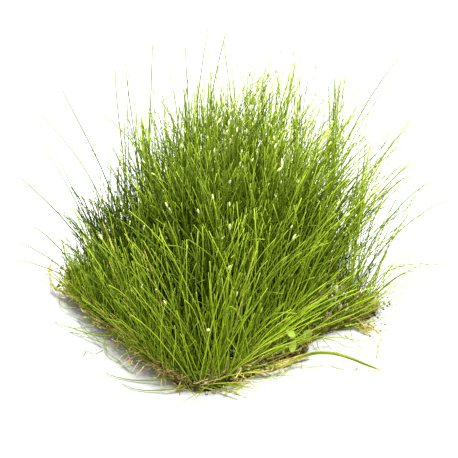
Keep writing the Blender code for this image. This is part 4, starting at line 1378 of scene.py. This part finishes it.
class SPIKERUSH_OT_seedling(bpy.types.Operator):
    """Grow the small broad-leaved plant at the front edge"""

    bl_idname = "spikerush.seedling"
    bl_label = "Seedling"

    def execute(self, context):
        look = context.scene.spikerush
        foot = Vector([c * MM for c in SEEDLING_FOOT])
        bm = bmesh.new()
        vein = bm.verts.layers.float.new("vein")
        edge = bm.verts.layers.float.new("edge")
        lines = Lines()
        for start, ahead, length, width in SEEDLING_LEAVES:
            start = Vector(start) * MM
            self.leaf(bm, vein, edge, start, Vector(ahead), length * MM, width * MM)
            middle = foot.lerp(start, 0.5) + Vector((0, -0.4 * MM, 0.8 * MM))
            line = smooth_line([tuple(p / MM) for p in (foot, middle, start)], 10)
            lines.add(line, np.linspace(0.62, 0.42, 10) * MM, tone=0.9)
        leaves = bpy.data.meshes.new("seedling_leaves")
        bm.to_mesh(leaves)
        bm.free()
        leaves.materials.append(leaf_finish("seedling leaf", look))
        plant = link(bpy.data.objects.new("seedling_leaves", leaves))
        thicken = plant.modifiers.new("thickness", "SOLIDIFY")
        thicken.thickness = 0.3 * MM
        thicken.offset = 0.0
        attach(plant, "root")
        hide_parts("seedling")
        lines.put("seedling_stalks", SHARED["stem finish"], 6, "seedling_leaf")
        return {"FINISHED"}

    def leaf(self, bm, vein, edge, start, ahead, length, width):
        """A rounded leaf, notched at its stalk and a little cupped."""
        ahead = ahead.normalized()
        up = Vector((-0.42, -0.56, 0.72))
        up = (up - ahead * up.dot(ahead)).normalized()
        side = ahead.cross(up).normalized()
        rings, spokes = 6, 28
        middle = start + ahead * length * 0.5
        rows = [[bm.verts.new(middle)]]
        for ring in range(1, rings + 1):
            row = []
            for spoke in range(spokes):
                turn = math.tau * spoke / spokes
                notch = 1.0 - 0.35 * math.exp(-(min(turn, math.tau - turn) - math.pi) ** 2 / 0.08)
                wavy = 1.0 + 0.05 * math.sin(turn * 7.0)
                reach = ring / rings * notch * wavy
                cup = 0.22 * (ring / rings) ** 2 + 0.05 * math.sin(turn * 5.0) * ring / rings
                v = bm.verts.new(middle + ahead * (math.cos(turn) * reach * length * 0.5)
                                 + side * (math.sin(turn) * reach * width * 0.5) + up * cup * width * 0.5)
                v[vein] = abs(math.cos(turn * 4.0)) * ring / rings
                v[edge] = ring / rings
                row.append(v)
            rows.append(row)
        for spoke in range(spokes):
            bm.faces.new((rows[0][0], rows[1][spoke], rows[1][(spoke + 1) % spokes]))
            for ring in range(1, rings):
                a, b = rows[ring], rows[ring + 1]
                bm.faces.new((a[spoke], b[spoke], b[(spoke + 1) % spokes], a[(spoke + 1) % spokes]))
        for face in bm.faces:
            face.smooth = True


class SPIKERUSH_PT_panel(bpy.types.Panel):
    """The clump's sizes, colours and pieces"""

    bl_idname = "SPIKERUSH_PT_panel"
    bl_label = "Needle Spikerush"
    bl_space_type = "VIEW_3D"
    bl_region_type = "UI"
    bl_category = "Spikerush"

    def draw(self, context):
        layout = self.layout
        for name in RushLook.__annotations__:
            layout.prop(context.scene.spikerush, name)
        for operator in OPERATORS:
            layout.operator(operator.bl_idname)


OPERATORS = (SPIKERUSH_OT_stage, SPIKERUSH_OT_mat, SPIKERUSH_OT_tufts, SPIKERUSH_OT_blades,
             SPIKERUSH_OT_spikelets, SPIKERUSH_OT_sheaths, SPIKERUSH_OT_fibres, SPIKERUSH_OT_soil,
             SPIKERUSH_OT_strands, SPIKERUSH_OT_seedling)
CLASSES = (RushLook, *OPERATORS, SPIKERUSH_PT_panel)


def register():
    for cls in CLASSES:
        bpy.utils.register_class(cls)
    bpy.types.Scene.spikerush = bpy.props.PointerProperty(type=RushLook)


def unregister():
    del bpy.types.Scene.spikerush
    for cls in reversed(CLASSES):
        bpy.utils.unregister_class(cls)


def main():
    register()
    SHARED["lumps"] = lump_tree()
    SHARED["strands"] = strand_tree()
    for operator in OPERATORS:
        group, name = operator.bl_idname.split(".")
        getattr(getattr(bpy.ops, group), name)()


if __name__ == "__main__":
    main()
